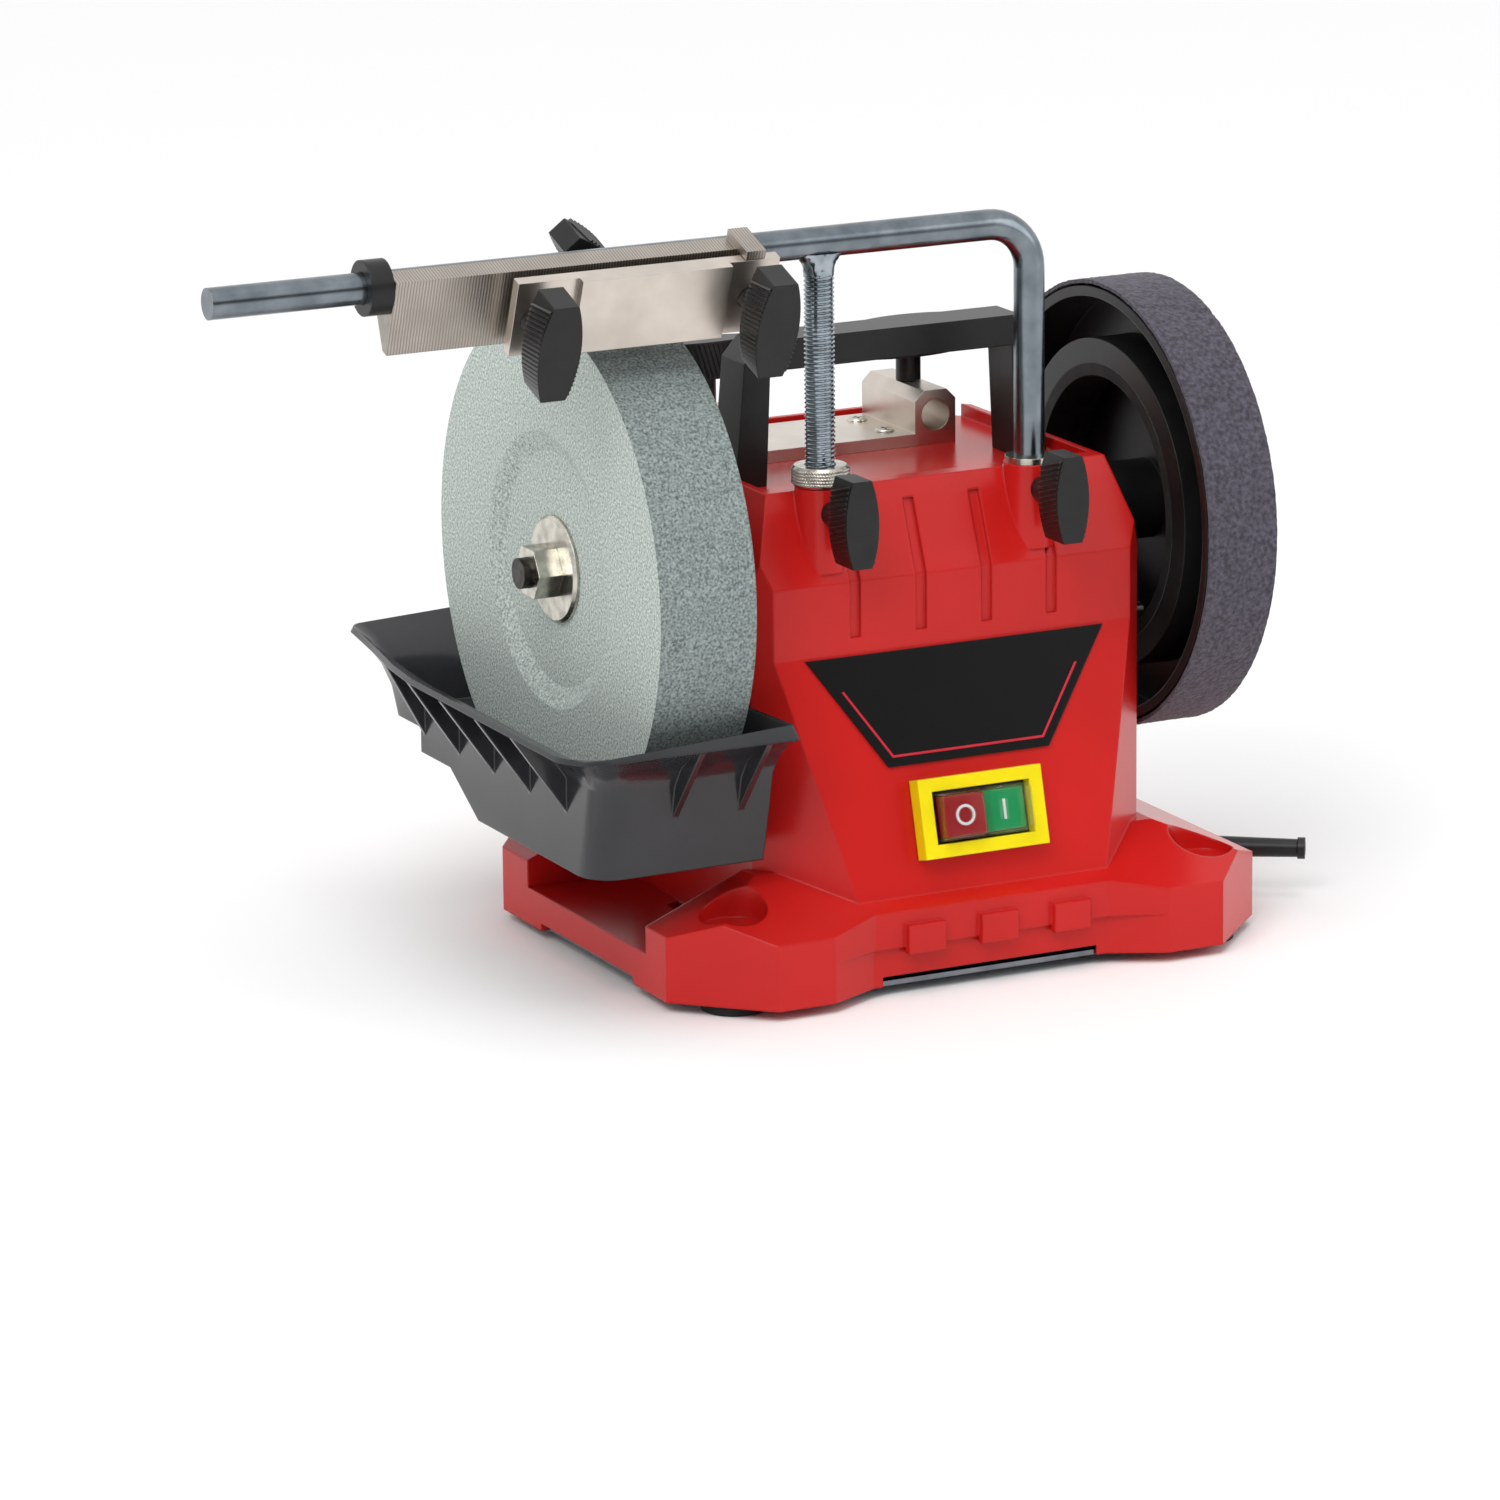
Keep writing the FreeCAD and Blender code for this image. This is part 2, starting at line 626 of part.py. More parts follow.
def build_housing():
    """Moulded housing: base, tower, rod bosses, bearing bosses and tray guide, open underneath."""
    base = build_base()
    tower = tower_solid("tower", as_dim(0), base_edge - wall, deck_height)
    hollow = tower_solid("tower_hollow", wall, as_dim(0), deck_floor - wall)
    floor = padded("base_hollow", "XY_Plane", base_outline(wall, skirt_depth + wall), inner_ceiling)
    deck = block("deck_recess", (-deck_half + deck_rim, -deck_front + deck_ridge, deck_floor),
                 (deck_half - deck_rim, tower_back - deck_rim, deck_height + overlap))
    form = fuse("shell_form", base, tower, *build_skirt_blocks())
    shell = cut("shell", form, hollow, floor, deck, *build_grooves())
    bosses = []
    holes = []
    for name, x in (("rod", -rod_x), ("leg", leg_x)):
        low = boss_height - bush_length - wall
        bosses.append(rod(f"{name}_boss", boss_radius, boss_height - low, x, -support_y, low))
        holes.append(rod(f"{name}_boss_hole", bush_radius, boss_height, x, -support_y, low - wall * 4))
        holes.append(rod(f"{name}_lock_hole", knob_screw + knob_screw_gap, boss_radius + wall, x,
                         -support_y - boss_radius - wall, boss_height - lock_drop, "Y"))
    inner = deck_half - wall * 2
    for side, start in (("left", -tower_half), ("right", inner)):
        bosses.append(rod(f"{side}_bearing_boss", bearing_boss, tower_half - inner, start, 0, spindle_height, "X"))
    holes.append(rod("spindle_hole", bearing_radius, tower_half * 3, -tower_half * 1.5, 0, spindle_height, "X"))
    holes.append(rod("pinion_hole", pinion_radius * 2, tower_half, deck_half - wall * 4, 0, motor_height, "X"))
    columns = four(lambda n, x, y: rod(f"bench_column_{n}", column_radius, pocket_floor - foot_height, x, y,
                                       foot_height), bench_x, bench_y)
    holes += four(lambda n, x, y: rod(f"bench_hole_{n}", bench_hole, base_roof * 2, x, y, -overlap),
                  bench_x, bench_y)
    posts = four(lambda n, x, y: rod(f"plate_post_{n}", plate_screw * 2.5, inner_ceiling - plate_bottom,
                                     x, y, plate_bottom + plate_thick), plate_screw_x, plate_screw_y)
    holes += four(lambda n, x, y: rod(f"plate_screw_hole_{n}", plate_screw, inner_ceiling, x, y, plate_bottom),
                  plate_screw_x, plate_screw_y)
    guide = block("tray_guide", (-tray_right + slip, -guide_half, guide_low),
                  (-tower_half + overlap, guide_half, tail_high))
    tail_slot = padded("tail_slot", "XY_Plane", tail_outline(slip, overlap), deck_height)
    holes.append(tail_slot)
    opening = block("switch_opening", (-switch_body_half - slip, -wall * 2, -switch_body_tall - slip),
                    (switch_body_half + slip, wall * 3, switch_body_tall + slip))
    holes.append(front_frame(group("switch_opening_set", opening), switch_height))
    for number, (x, y) in enumerate(handle_screw_places()):
        holes.append(rod(f"handle_tap_{number}", handle_screw, wall * 3, x, y, deck_floor - wall * 2))
    for number, (x, y) in enumerate(block_screw_places()):
        holes.append(rod(f"block_tap_{number}", block_screw, wall * 3, x, y, deck_floor - wall * 2))
    holes.append(rod("cord_hole", sleeve_root, wall * 6, base_half - wall * 4, -sleeve_y, sleeve_z, "X"))
    whole = fuse("housing_solid", shell, guide, *bosses, *columns, *posts)
    node("housing", cut("housing", whole, *holes))


def build_underside():
    """Bottom plate with its screws, and the rubber feet."""
    plate = padded("plate_blank", "XY_Plane", base_outline(wall + slip, skirt_depth + wall + slip), plate_thick)
    place(plate, 0, 0, plate_bottom)
    openings = four(lambda n, x, y: rod(f"plate_opening_{n}", column_radius + slip, plate_thick * 3, x, y,
                                        plate_bottom - plate_thick), bench_x, bench_y)
    openings += four(lambda n, x, y: rod(f"plate_hole_{n}", plate_screw + running, plate_thick * 3, x, y,
                                         plate_bottom - plate_thick), plate_screw_x, plate_screw_y)
    node("bottom_plate", cut("bottom_plate", plate, *openings))

    def plate_fastener(number, x, y):
        shank = rod(f"plate_shank_{number}", plate_screw, inner_ceiling - plate_bottom, x, y, plate_bottom)
        head = rod(f"plate_head_{number}", plate_screw * 2, plate_screw, x, y, plate_bottom - plate_screw)
        return fuse(f"plate_fastener_{number}", shank, head)

    node("bottom_plate_screws", group("bottom_plate_screws", *four(plate_fastener, plate_screw_x, plate_screw_y)))

    def foot(number, x, y):
        pad = rod(f"foot_pad_{number}", foot_radius, foot_height, x, y, 0)
        return cut(f"foot_{number}", pad, rod(f"foot_hole_{number}", bench_hole, foot_height * 3, x, y, -foot_height))

    node("rubber_feet", group("rubber_feet", *four(foot, bench_x, bench_y)))


def wing_knob(name, length, width, end, screw_length):
    """Wing knob with a barrel-sided grip; its seat is the origin and the grip stands towards -Y."""
    neck = rod(name + "_neck", knob_neck, knob_neck_length + overlap, 0, -knob_neck_length - overlap, 0, "Y")
    screw = rod(name + "_screw", knob_screw, screw_length + overlap, 0, -overlap, 0, "Y")
    grip = padded(name + "_grip", "XZ_Plane", [
        (-end / 2, -length / 2), (end / 2, -length / 2, width / 2, 0), (end / 2, length / 2),
        (-end / 2, length / 2, -width / 2, 0),
    ], knob_depth)
    place(grip, 0, -knob_neck_length, 0)
    return fuse(name, neck, screw, grip)


def build_lock_knobs():
    """Two knobs on the front that clamp the support's legs, and the bushes that guide them."""
    seat = support_y + boss_radius + slip
    screw = boss_radius - bar_radius
    for name, x in (("left_lock_knob", -rod_x), ("right_lock_knob", leg_x)):
        knob = wing_knob(name, knob_length, knob_width, knob_end, screw)
        node(name, place(knob, x, -seat, boss_height - lock_drop))
    bushes = []
    for name, x in (("rod_bush", -rod_x), ("leg_bush", leg_x)):
        body = rod(f"{name}_body", bush_radius, bush_length, x, -support_y, boss_height - bush_length)
        if name == "leg_bush":
            lip = rod(f"{name}_lip", bush_flange, bush_lip, x, -support_y, boss_height)
            body = fuse(f"{name}_turned", body, lip)
        bore = rod(f"{name}_bore", bar_radius + running, bush_length * 3, x, -support_y, boss_height - bush_length * 2)
        lock = rod(f"{name}_lock", knob_screw + knob_screw_gap, boss_radius, x, -support_y - boss_radius,
                   boss_height - lock_drop, "Y")
        bushes.append(cut(name, body, bore, lock))
    node("rod_bushes", group("rod_bushes", *bushes))


def build_support():
    """Bent support bar with its plain leg, the welded threaded rod and its thumb nut."""
    foot = boss_height - leg_depth
    corner = bar_height - bar_bend
    leg = rod("leg", bar_radius, corner - foot, leg_x, -support_y, foot)
    bar = rod("level_bar", bar_radius, bar_reach + leg_x - bar_bend, -bar_reach, -support_y, bar_height, "X")
    elbow = doc.addObject("Part::Torus", "elbow")
    bind(elbow, "Radius1", bar_bend)
    bind(elbow, "Radius2", bar_radius)
    elbow.Angle3 = 90
    place(elbow, leg_x - bar_bend, -support_y, corner, X_AXIS, 90)
    node("support_bar", fuse("support_bar", leg, bar, elbow))
    post = rod("rod_post", bar_radius, bar_height - bar_radius - foot, -rod_x, -support_y, foot)
    weld = doc.addObject("Part::Cone", "weld")
    bind(weld, "Radius1", bar_radius)
    bind(weld, "Radius2", weld_radius)
    bind(weld, "Height", bar_radius)
    place(weld, -rod_x, -support_y, bar_height - bar_radius * 2)
    seat = rod("weld_seat", bar_radius, bar_radius * 6, -rod_x - bar_radius * 3, -support_y, bar_height, "X")
    reach = rod("rod_reach", bar_radius, bar_radius, -rod_x, -support_y, bar_height - bar_radius)
    node("threaded_rod", cut("threaded_rod", fuse("rod_welded", post, reach, weld), seat))
    nut = rod("thumb_blank", thumb_radius, thumb_height, -rod_x, -support_y, boss_height + slip)
    hole = rod("thumb_hole", bar_radius + running, thumb_height * 3, -rod_x, -support_y, boss_height - thumb_height)
    node("height_nut", cut("height_nut", nut, hole))


def build_spindle():
    """Shaft, stone with its flange, washer and nut, and the two bearings."""
    floor = -stone_face + dish_depth
    tip = floor - washer_thick - nut_height - shaft_tip
    far = hone_face + hone_width
    shaft = rod("main_shaft", shaft_radius, far - tip + nut_height, tip, 0, spindle_height, "X")
    node("main_shaft", shaft)
    stone_back = -stone_face + stone_width
    stone = turned("wet_stone", [
        (floor, shaft_radius + running), (floor, dish_floor_radius), (-stone_face, dish_radius),
        (-stone_face, stone_radius), (stone_back, stone_radius), (stone_back, shaft_radius + running),
    ])
    node("wet_stone", place(stone, 0, 0, spindle_height))
    flange = turned("stone_flange", [
        (stone_back, shaft_radius), (stone_back, flange_radius), (stone_back + flange_thick / 2, flange_radius),
        (stone_back + flange_thick, bearing_radius), (-tower_half - bearing_lip - slip, bearing_radius),
        (-tower_half - bearing_lip - slip, shaft_radius),
    ])
    node("stone_flange", place(flange, 0, 0, spindle_height))
    washer = turned("stone_washer", [
        (floor - washer_thick, shaft_radius), (floor - washer_thick, washer_radius - washer_thick / 2),
        (floor - washer_thick / 2, washer_radius), (floor, washer_radius), (floor, shaft_radius),
    ])
    node("stone_washer", place(washer, 0, 0, spindle_height))
    node("stone_nut", hex_nut("stone_nut", floor - washer_thick - nut_height))
    bearings = []
    for name, start, lip in (("left_bearing", -tower_half, -tower_half - bearing_lip),
                             ("right_bearing", tower_half - bearing_length, tower_half)):
        body = rod(name + "_body", bearing_radius, bearing_length, start, 0, spindle_height, "X")
        flange = rod(name + "_lip", bearing_flange, bearing_lip, lip, 0, spindle_height, "X")
        bore = rod(name + "_bore", shaft_radius + running, bearing_length * 3, start - bearing_length, 0,
                   spindle_height, "X")
        bearings.append(cut(name, fuse(name + "_turned", body, flange), bore))
    node("spindle_bearings", group("spindle_bearings", *bearings))


def hex_nut(name, start):
    """Hexagon nut on the spindle that starts at a place along X."""
    side = nut_flats / 2 * tangent(as_dim(30))
    tall = nut_flats / 2
    blank = padded(name + "_blank", "YZ_Plane", [
        (-side, -tall), (side, -tall), (side * 2, 0), (side, tall), (-side, tall), (-side * 2, 0),
    ], nut_height)
    hole = rod(name + "_hole", shaft_radius, nut_height * 3, -nut_height, 0, 0, "X")
    return place(cut(name, blank, hole), start, 0, spindle_height)


def build_honing_wheel():
    """Moulded hub with its drive wall, rubber friction ring, honing band and nut."""
    face = hone_face
    far = hone_face + hone_width
    web_far = far - web_inset
    web_near = web_far - web_thick
    rim_out = hone_radius - band_thick
    rim_in = rim_out - rim_thick
    wall_in = ring_outer - ring_wall
    near = face + ring_inset
    hub = turned("honing_hub", [
        (tower_half + bearing_lip + slip, shaft_radius), (tower_half + bearing_lip + slip, hub_core),
        (web_near, hub_core), (web_near, wall_in), (near, wall_in), (near, ring_outer), (web_near, ring_outer),
        (web_near, rim_in), (face, rim_in), (face, rim_out), (far, rim_out), (far, rim_in), (web_far, rim_in),
        (web_far, shaft_radius),
    ])
    node("honing_hub", place(hub, 0, 0, spindle_height))
    ring = turned("friction_ring", [
        (near, ring_inner), (near, wall_in), (web_near, wall_in), (web_near, ring_inner),
    ])
    node("friction_ring", place(ring, 0, 0, spindle_height))
    band = turned("honing_band", [(face, rim_out), (face, hone_radius), (far, hone_radius), (far, rim_out)])
    node("honing_band", place(band, 0, 0, spindle_height))
    node("hub_nut", hex_nut("hub_nut", web_far))


def build_motor():
    """Motor below the spindle: stator, end shields, bearings, rotor and a shaft that drives the ring."""
    half = motor_length / 2
    left = motor_shift - half
    right = motor_shift + half
    rotor_radius = motor_bore - motor_air_gap
    stator = turned("motor_stator", [(left, motor_bore), (left, motor_radius), (right, motor_radius),
                                     (right, motor_bore)])
    node("motor_stator", place(stator, 0, 0, motor_height))
    shields = []
    bearings = []
    for name, seat, way in (("left", left, -1), ("right", right, 1)):
        outer = seat + way * shield_thick
        inner = outer - way * motor_bearing_length
        shield = turned(f"{name}_shield", [
            (seat, motor_radius - wall), (seat, motor_radius), (seat + way * wall, motor_radius),
            (outer, motor_bearing + wall), (outer, motor_bearing), (inner, motor_bearing),
            (inner, motor_bearing + wall),
        ])
        shields.append(place(shield, 0, 0, motor_height))
        race = turned(f"{name}_race", [(inner, motor_shaft + running), (inner, motor_bearing),
                                       (outer, motor_bearing), (outer, motor_shaft + running)])
        bearings.append(place(race, 0, 0, motor_height))
    node("motor_end_shields", group("motor_end_shields", *shields))
    node("motor_bearings", group("motor_bearings", *bearings))
    core = turned("motor_rotor", [
        (left + wall, motor_shaft), (left + wall, rotor_radius), (right - wall, rotor_radius),
        (right - wall, motor_shaft),
    ])
    node("motor_rotor", place(core, 0, 0, motor_height))
    start = left - shield_thick - wall
    end = hone_face + hone_width - web_inset - web_thick - wall
    grip = hone_face + ring_inset
    shaft = turned("motor_shaft", [
        (start, 0), (start, motor_shaft), (grip, motor_shaft), (grip, pinion_radius), (end, pinion_radius), (end, 0),
    ])
    node("motor_shaft", place(shaft, 0, 0, motor_height))
    floor = plate_bottom + plate_thick
    sole = block("bracket_sole", (left, -bracket_foot, floor), (right, bracket_foot, floor + bracket_thick))
    cheeks = []
    for name, x in (("left_cheek", left), ("right_cheek", right - bracket_thick)):
        cheeks.append(block(name, (x, -bracket_foot, floor), (x + bracket_thick, bracket_foot, motor_height)))
    cradle = rod("cradle", motor_radius, motor_length * 2, left - half, 0, motor_height, "X")
    node("motor_bracket", cut("motor_bracket", fuse("bracket_bent", sole, *cheeks), cradle))
    can = rod("capacitor", capacitor_radius, capacitor_length, -tower_half + wall * 3, bracket_foot / 2,
              floor + capacitor_radius, "X")
    node("capacitor", can)


def handle_screw_places():
    """Where the four handle screws stand on the deck."""
    middle = (handle_foot + handle_inner) / 2
    places = []
    for side in (-1, 1):
        for end in (-1, 1):
            places.append((handle_x + side * middle, handle_y + end * handle_deep / 4))
    return places


def build_handle():
    """Carrying handle: an arch over the deck, hollow behind, with two feet and four screws from below."""
    arch = padded("handle_arch", "XZ_Plane", [
        (-handle_foot, deck_floor), (-handle_shoulder, handle_shoulder_z), (-handle_corner, handle_top),
        (handle_corner, handle_top), (handle_shoulder, handle_shoulder_z), (handle_foot, deck_floor),
        (handle_inner, deck_floor), (handle_inner_top, handle_under), (-handle_inner_top, handle_under),
        (-handle_inner, deck_floor),
    ], handle_deep, symmetric=True)
    hollow = padded("handle_hollow", "XZ_Plane", [
        (-handle_inner_top - handle_web, handle_under + handle_web), (-handle_corner, handle_top - handle_web),
        (handle_corner, handle_top - handle_web), (handle_inner_top + handle_web, handle_under + handle_web),
    ], handle_deep)
    place(hollow, 0, handle_deep + handle_web, 0)
    taps = []
    screws = []
    for number, (x, y) in enumerate(handle_screw_places()):
        taps.append(rod(f"handle_bore_{number}", handle_screw, wall * 4, x - handle_x, y - handle_y, deck_floor - wall))
        shank = rod(f"handle_shank_{number}", handle_screw, wall * 4, x, y, deck_floor - wall)
        head = rod(f"handle_head_{number}", handle_screw * 2, handle_screw, x, y, deck_floor - wall - handle_screw)
        screws.append(fuse(f"handle_fastener_{number}", shank, head))
    node("handle", place(cut("handle", arch, hollow, *taps), handle_x, handle_y, 0))
    node("handle_screws", group("handle_screws", *screws))


def block_centre():
    """Middle of the sleeve block along X."""
    return block_bore_x - (rod_x + leg_x) / 2


def block_screw_places():
    """Where the four sleeve block screws stand on the deck."""
    across = (rod_x + leg_x) / 2 - block_boss_half - block_screw_inset / 2
    along = block_deep / 2 - block_screw_inset * 0.7
    middle = block_front + block_deep / 2
    return [(block_centre() + sx * across, middle + sy * along) for sx, sy in ((-1, -1), (1, -1), (1, 1), (-1, 1))]


def build_sleeve_block():
    """Aluminium block on the deck with two level bores, its screws and its two lock knobs."""
    centre = block_centre()
    span = (rod_x + leg_x) / 2
    top = block_boss_rise
    edge = span + block_boss_half
    near = span - block_boss_half
    outline = [
        (-edge, 0), (edge, 0), (edge, top - block_boss_cut), (edge - block_boss_cut, top),
        (near + block_boss_cut, top), (near, top - block_boss_cut), (near, block_plate),
        (-near, block_plate), (-near, top - block_boss_cut), (-near - block_boss_cut, top),
        (-edge + block_boss_cut, top), (-edge, top - block_boss_cut),
    ]
    blank = padded("sleeve_blank", "XZ_Plane", outline, block_deep, back=True)
    tools = []
    screw_high = block_boss_rise - block_bore_rise
    for name, sign in (("left", -1), ("right", 1)):
        tools.append(rod(f"{name}_sleeve_bore", block_bore, block_deep * 3, sign * span, -block_deep,
                         block_bore_rise, "Y"))
        tools.append(rod(f"{name}_sleeve_tap", knob_screw + knob_screw_gap, screw_high * 2, sign * span,
                         block_deep / 2, block_bore_rise))
    fasteners = []
    for number, (x, y) in enumerate(block_screw_places()):
        tools.append(rod(f"block_bore_{number}", block_screw, block_plate * 3, x - centre, y - block_front, -block_plate))
        head = rod(f"block_head_{number}", block_screw_head, block_screw, x, y, deck_floor + block_plate)
        shank = rod(f"block_shank_{number}", block_screw, block_plate + wall, x, y, deck_floor - wall)
        fasteners.append(fuse(f"block_fastener_{number}", head, shank))
    node("sleeve_block", place(cut("sleeve_block", blank, *tools), centre, block_front, deck_floor))
    node("sleeve_block_screws", group("sleeve_block_screws", *fasteners))
    for name, sign in (("left_sleeve_knob", -1), ("right_sleeve_knob", 1)):
        knob = wing_knob(name + "_level", knob_length, knob_width, knob_end, screw_high - block_bore)
        place(knob, 0, 0, 0, Y_AXIS, 90)
        node(name, place(group(name, knob), centre + sign * span, block_front + block_deep / 2,
                         deck_floor + block_boss_rise + slip, X_AXIS, -90))


def build_tray():
    """Open water tray under the stone, with a flared lip, gussets and a dovetail at the tower."""
    def shell(name, inset, rise):
        side = padded(name + "_side", "YZ_Plane", [
            (-tray_front + inset, tray_top + rise), (-tray_front_foot + inset, tray_floor + inset),
            (tray_deep_end, tray_floor + inset), (tray_step, tray_step_height + inset),
            (tray_shallow_end, tray_step_height + inset), (tray_shallow_end, tray_shallow_height + inset),
            (tray_back_foot - inset, tray_shallow_height + inset), (tray_back - inset, tray_top + rise),
        ], tray_left * 3, symmetric=True)
        face = padded(name + "_face", "XZ_Plane", [
            (-tray_left - tray_flare + inset, tray_top + rise), (-tray_left + inset, tray_floor),
            (-tray_right - inset, tray_floor), (-tray_right - inset, tray_top + rise),
        ], tray_back * 4, symmetric=True)
        return common(name, side, face)

    outer = shell("tray_outer", as_dim(0), as_dim(0))
    inner = shell("tray_inner", tray_wall, overlap)
    lip_low = (-tray_left - tray_flare - tray_lip, -tray_front - tray_lip, tray_top - tray_lip_thick)
    lip = block("tray_lip", lip_low, (-tray_right, tray_back + tray_lip, tray_top))
    gussets = []
    for number in range(side_gussets):
        y = side_gusset_pitch * number - side_gusset_first
        edge = -tray_left - tray_flare
        gusset = padded(f"side_gusset_{number}", "XZ_Plane", [
            (edge - tray_lip, tray_top - tray_lip_thick / 2), (edge + tray_wall, tray_top - tray_lip_thick / 2),
            (edge + tray_wall + tray_wall, tray_top - gusset_height),
        ], gusset_thick, symmetric=True)
        gussets.append(place(gusset, 0, y, 0))
    for number in range(front_gussets):
        gusset = padded(f"front_gusset_{number}", "YZ_Plane", [
            (-tray_front - tray_lip, tray_top - tray_lip_thick / 2), (-tray_front + tray_wall * 2, tray_top - overlap),
            (-tray_front + gusset_height / 2, tray_top - gusset_height),
        ], gusset_thick, symmetric=True)
        gussets.append(place(gusset, front_gusset_pitch * number - front_gusset_first, 0, 0))
    tail = padded("tray_tail", "XY_Plane", tail_outline(as_dim(0), overlap), tail_high - tail_low)
    place(tail, 0, 0, tail_low)
    node("water_tray", cut("water_tray", fuse("tray_solid", outer, lip, tail, *gussets), inner))


def jig_place(obj, x=0):
    """Set a jig piece on the bar, leaning."""
    return place(obj, x, -support_y, bar_height, X_AXIS, jig_lean)


def build_jig():
    """Straight-edge jig on the bar: body, end rings, clamp plate, square stop and three knobs."""
    length = jig_long
    blank = padded("jig_blank", "YZ_Plane", [
        (-jig_front, jig_top), (-jig_front, -jig_drop), (-jig_front + jig_edge, -jig_drop),
        (jig_back - bar_radius / 4, -bar_radius * 1.5), (jig_back, -bar_radius / 2), (-overlap / 2, jig_top),
    ], length)
    tools = [rod("jig_groove", bar_radius + slip, length * 3, -length, 0, 0, "X")]
    first = clamp_knob_inset - clamp_left + jig_left
    for number in range(2):
        tools.append(rod(f"jig_tap_{number}", knob_screw + knob_screw_gap, jig_front * 3,
                         clamp_knob_pitch * number + first, -jig_front * 2, -clamp_knob_drop, "Y"))
    tools.append(rod("jig_lock_tap", knob_screw + knob_screw_gap, jig_front * 3, jig_left - lock_screw_x,
                     -jig_front / 2, -lock_screw_drop, "Y"))
    node("jig_body", jig_place(cut("jig_body", blank, *tools), -jig_left))
    start = -jig_left - jig_ring_length - slip
    ring = rod("left_ring_blank", jig_ring_radius, jig_ring_length, start, -support_y, bar_height, "X")
    bore = rod("left_ring_bore", bar_radius + running, jig_ring_length * 3, start - jig_ring_length, -support_y,
               bar_height, "X")
    node("jig_end_rings", group("jig_end_rings", cut("left_ring", ring, bore)))
    back = -clamp_back
    plate = block("clamp_thin_plate", (0, back - clamp_thin, -jig_drop), (clamp_long, back, jig_top))
    raised = block("clamp_raised", (clamp_end_left, back - clamp_thick, -jig_drop),
                   (clamp_long - clamp_end_right, back, jig_top))
    holes = [rod(f"clamp_hole_{number}", knob_screw + running, clamp_thick * 4,
                 clamp_knob_pitch * number + clamp_knob_inset, back - clamp_thick * 2, -clamp_knob_drop, "Y")
             for number in range(2)]
    plate = cut("clamp_plate", fuse("clamp_blank", plate, raised), *holes)
    node("clamp_plate", jig_place(plate, -clamp_left))
    for number, name in enumerate(("left_clamp_knob", "right_clamp_knob")):
        knob = wing_knob(name + "_upright", jig_knob_length, jig_knob_width, jig_knob_end,
                         clamp_thin + clamp_gap + jig_front)
        place(knob, clamp_knob_pitch * number + clamp_knob_inset, back - clamp_thin - slip, -clamp_knob_drop)
        node(name, jig_place(group(name, knob), -clamp_left))
    lock = wing_knob("jig_lock_upright", knob_length, knob_width, knob_end, jig_front)
    turned_knob = group("jig_lock_turned", place(lock, 0, 0, 0, Y_AXIS, lock_knob_turn))
    place(turned_knob, 0, jig_back, -lock_screw_drop, Z_AXIS, 180)
    node("jig_lock_knob", jig_place(group("jig_lock_knob", turned_knob), -lock_screw_x))
    stop = block("square_stop_blank", (0, back - clamp_thin, jig_top), (stop_width, -overlap, jig_top + stop_height))
    relief = block("stop_relief", (-overlap, back - clamp_thick, jig_top - overlap),
                   (stop_width + overlap, -jig_front - slip, jig_top + slip))
    node("square_stop", jig_place(cut("square_stop", stop, relief), -jig_left + length - stop_width - stop_inset))


def build_switch():
    """Push-button switch in its yellow frame, with a clear cover, and the bare badge plate."""
    def shell(name, half, tall, near, far):
        return block(name, (-half, near, -tall), (half, far, tall))

    frame = shell("frame_blank", switch_half, switch_tall, -switch_proud, 0)
    window = shell("frame_window", switch_body_half + slip, switch_body_tall + slip, -switch_proud * 2, switch_proud)
    node("switch_frame", front_frame(cut("switch_frame", frame, window), switch_height))
    case = shell("case_blank", switch_body_half, switch_body_tall, -switch_wall / 2, switch_body_deep)
    pockets = []
    middle = button_half + button_gap / 2
    for name, sign in (("stop", -1), ("start", 1)):
        pocket = block(f"{name}_pocket", (sign * middle - button_half - slip, -switch_proud, -button_tall - slip),
                       (sign * middle + button_half + slip, switch_body_deep / 2, button_tall + slip))
        pockets.append(pocket)
    node("switch_body", front_frame(cut("switch_body", case, *pockets), switch_height))
    clear = shell("cover_blank", switch_body_half, switch_body_tall, -cover_proud, -switch_wall / 2)
    hollow = shell("cover_hollow", switch_body_half - cover_wall, switch_body_tall - cover_wall,
                   -cover_proud + cover_wall, 0)
    node("switch_cover", front_frame(cut("switch_cover", clear, hollow), switch_height))
    for name, sign, proud in (("stop_button", -1, stop_proud), ("start_button", 1, start_proud)):
        key = block(name + "_key", (sign * middle - button_half, -proud, -button_tall),
                    (sign * middle + button_half, switch_body_deep / 4, button_tall))
        node(name, front_frame(group(name, key), switch_height))
    slope = cosine(front_lean)
    rise = (badge_top - badge_foot) / slope
    badge = padded("badge_blank", "XZ_Plane", [
        (-badge_foot_half, 0), (badge_foot_half, 0), (badge_top_half, rise), (-badge_top_half, rise),
    ], badge_thick)
    node("front_badge", front_frame(group("front_badge", badge), badge_foot))


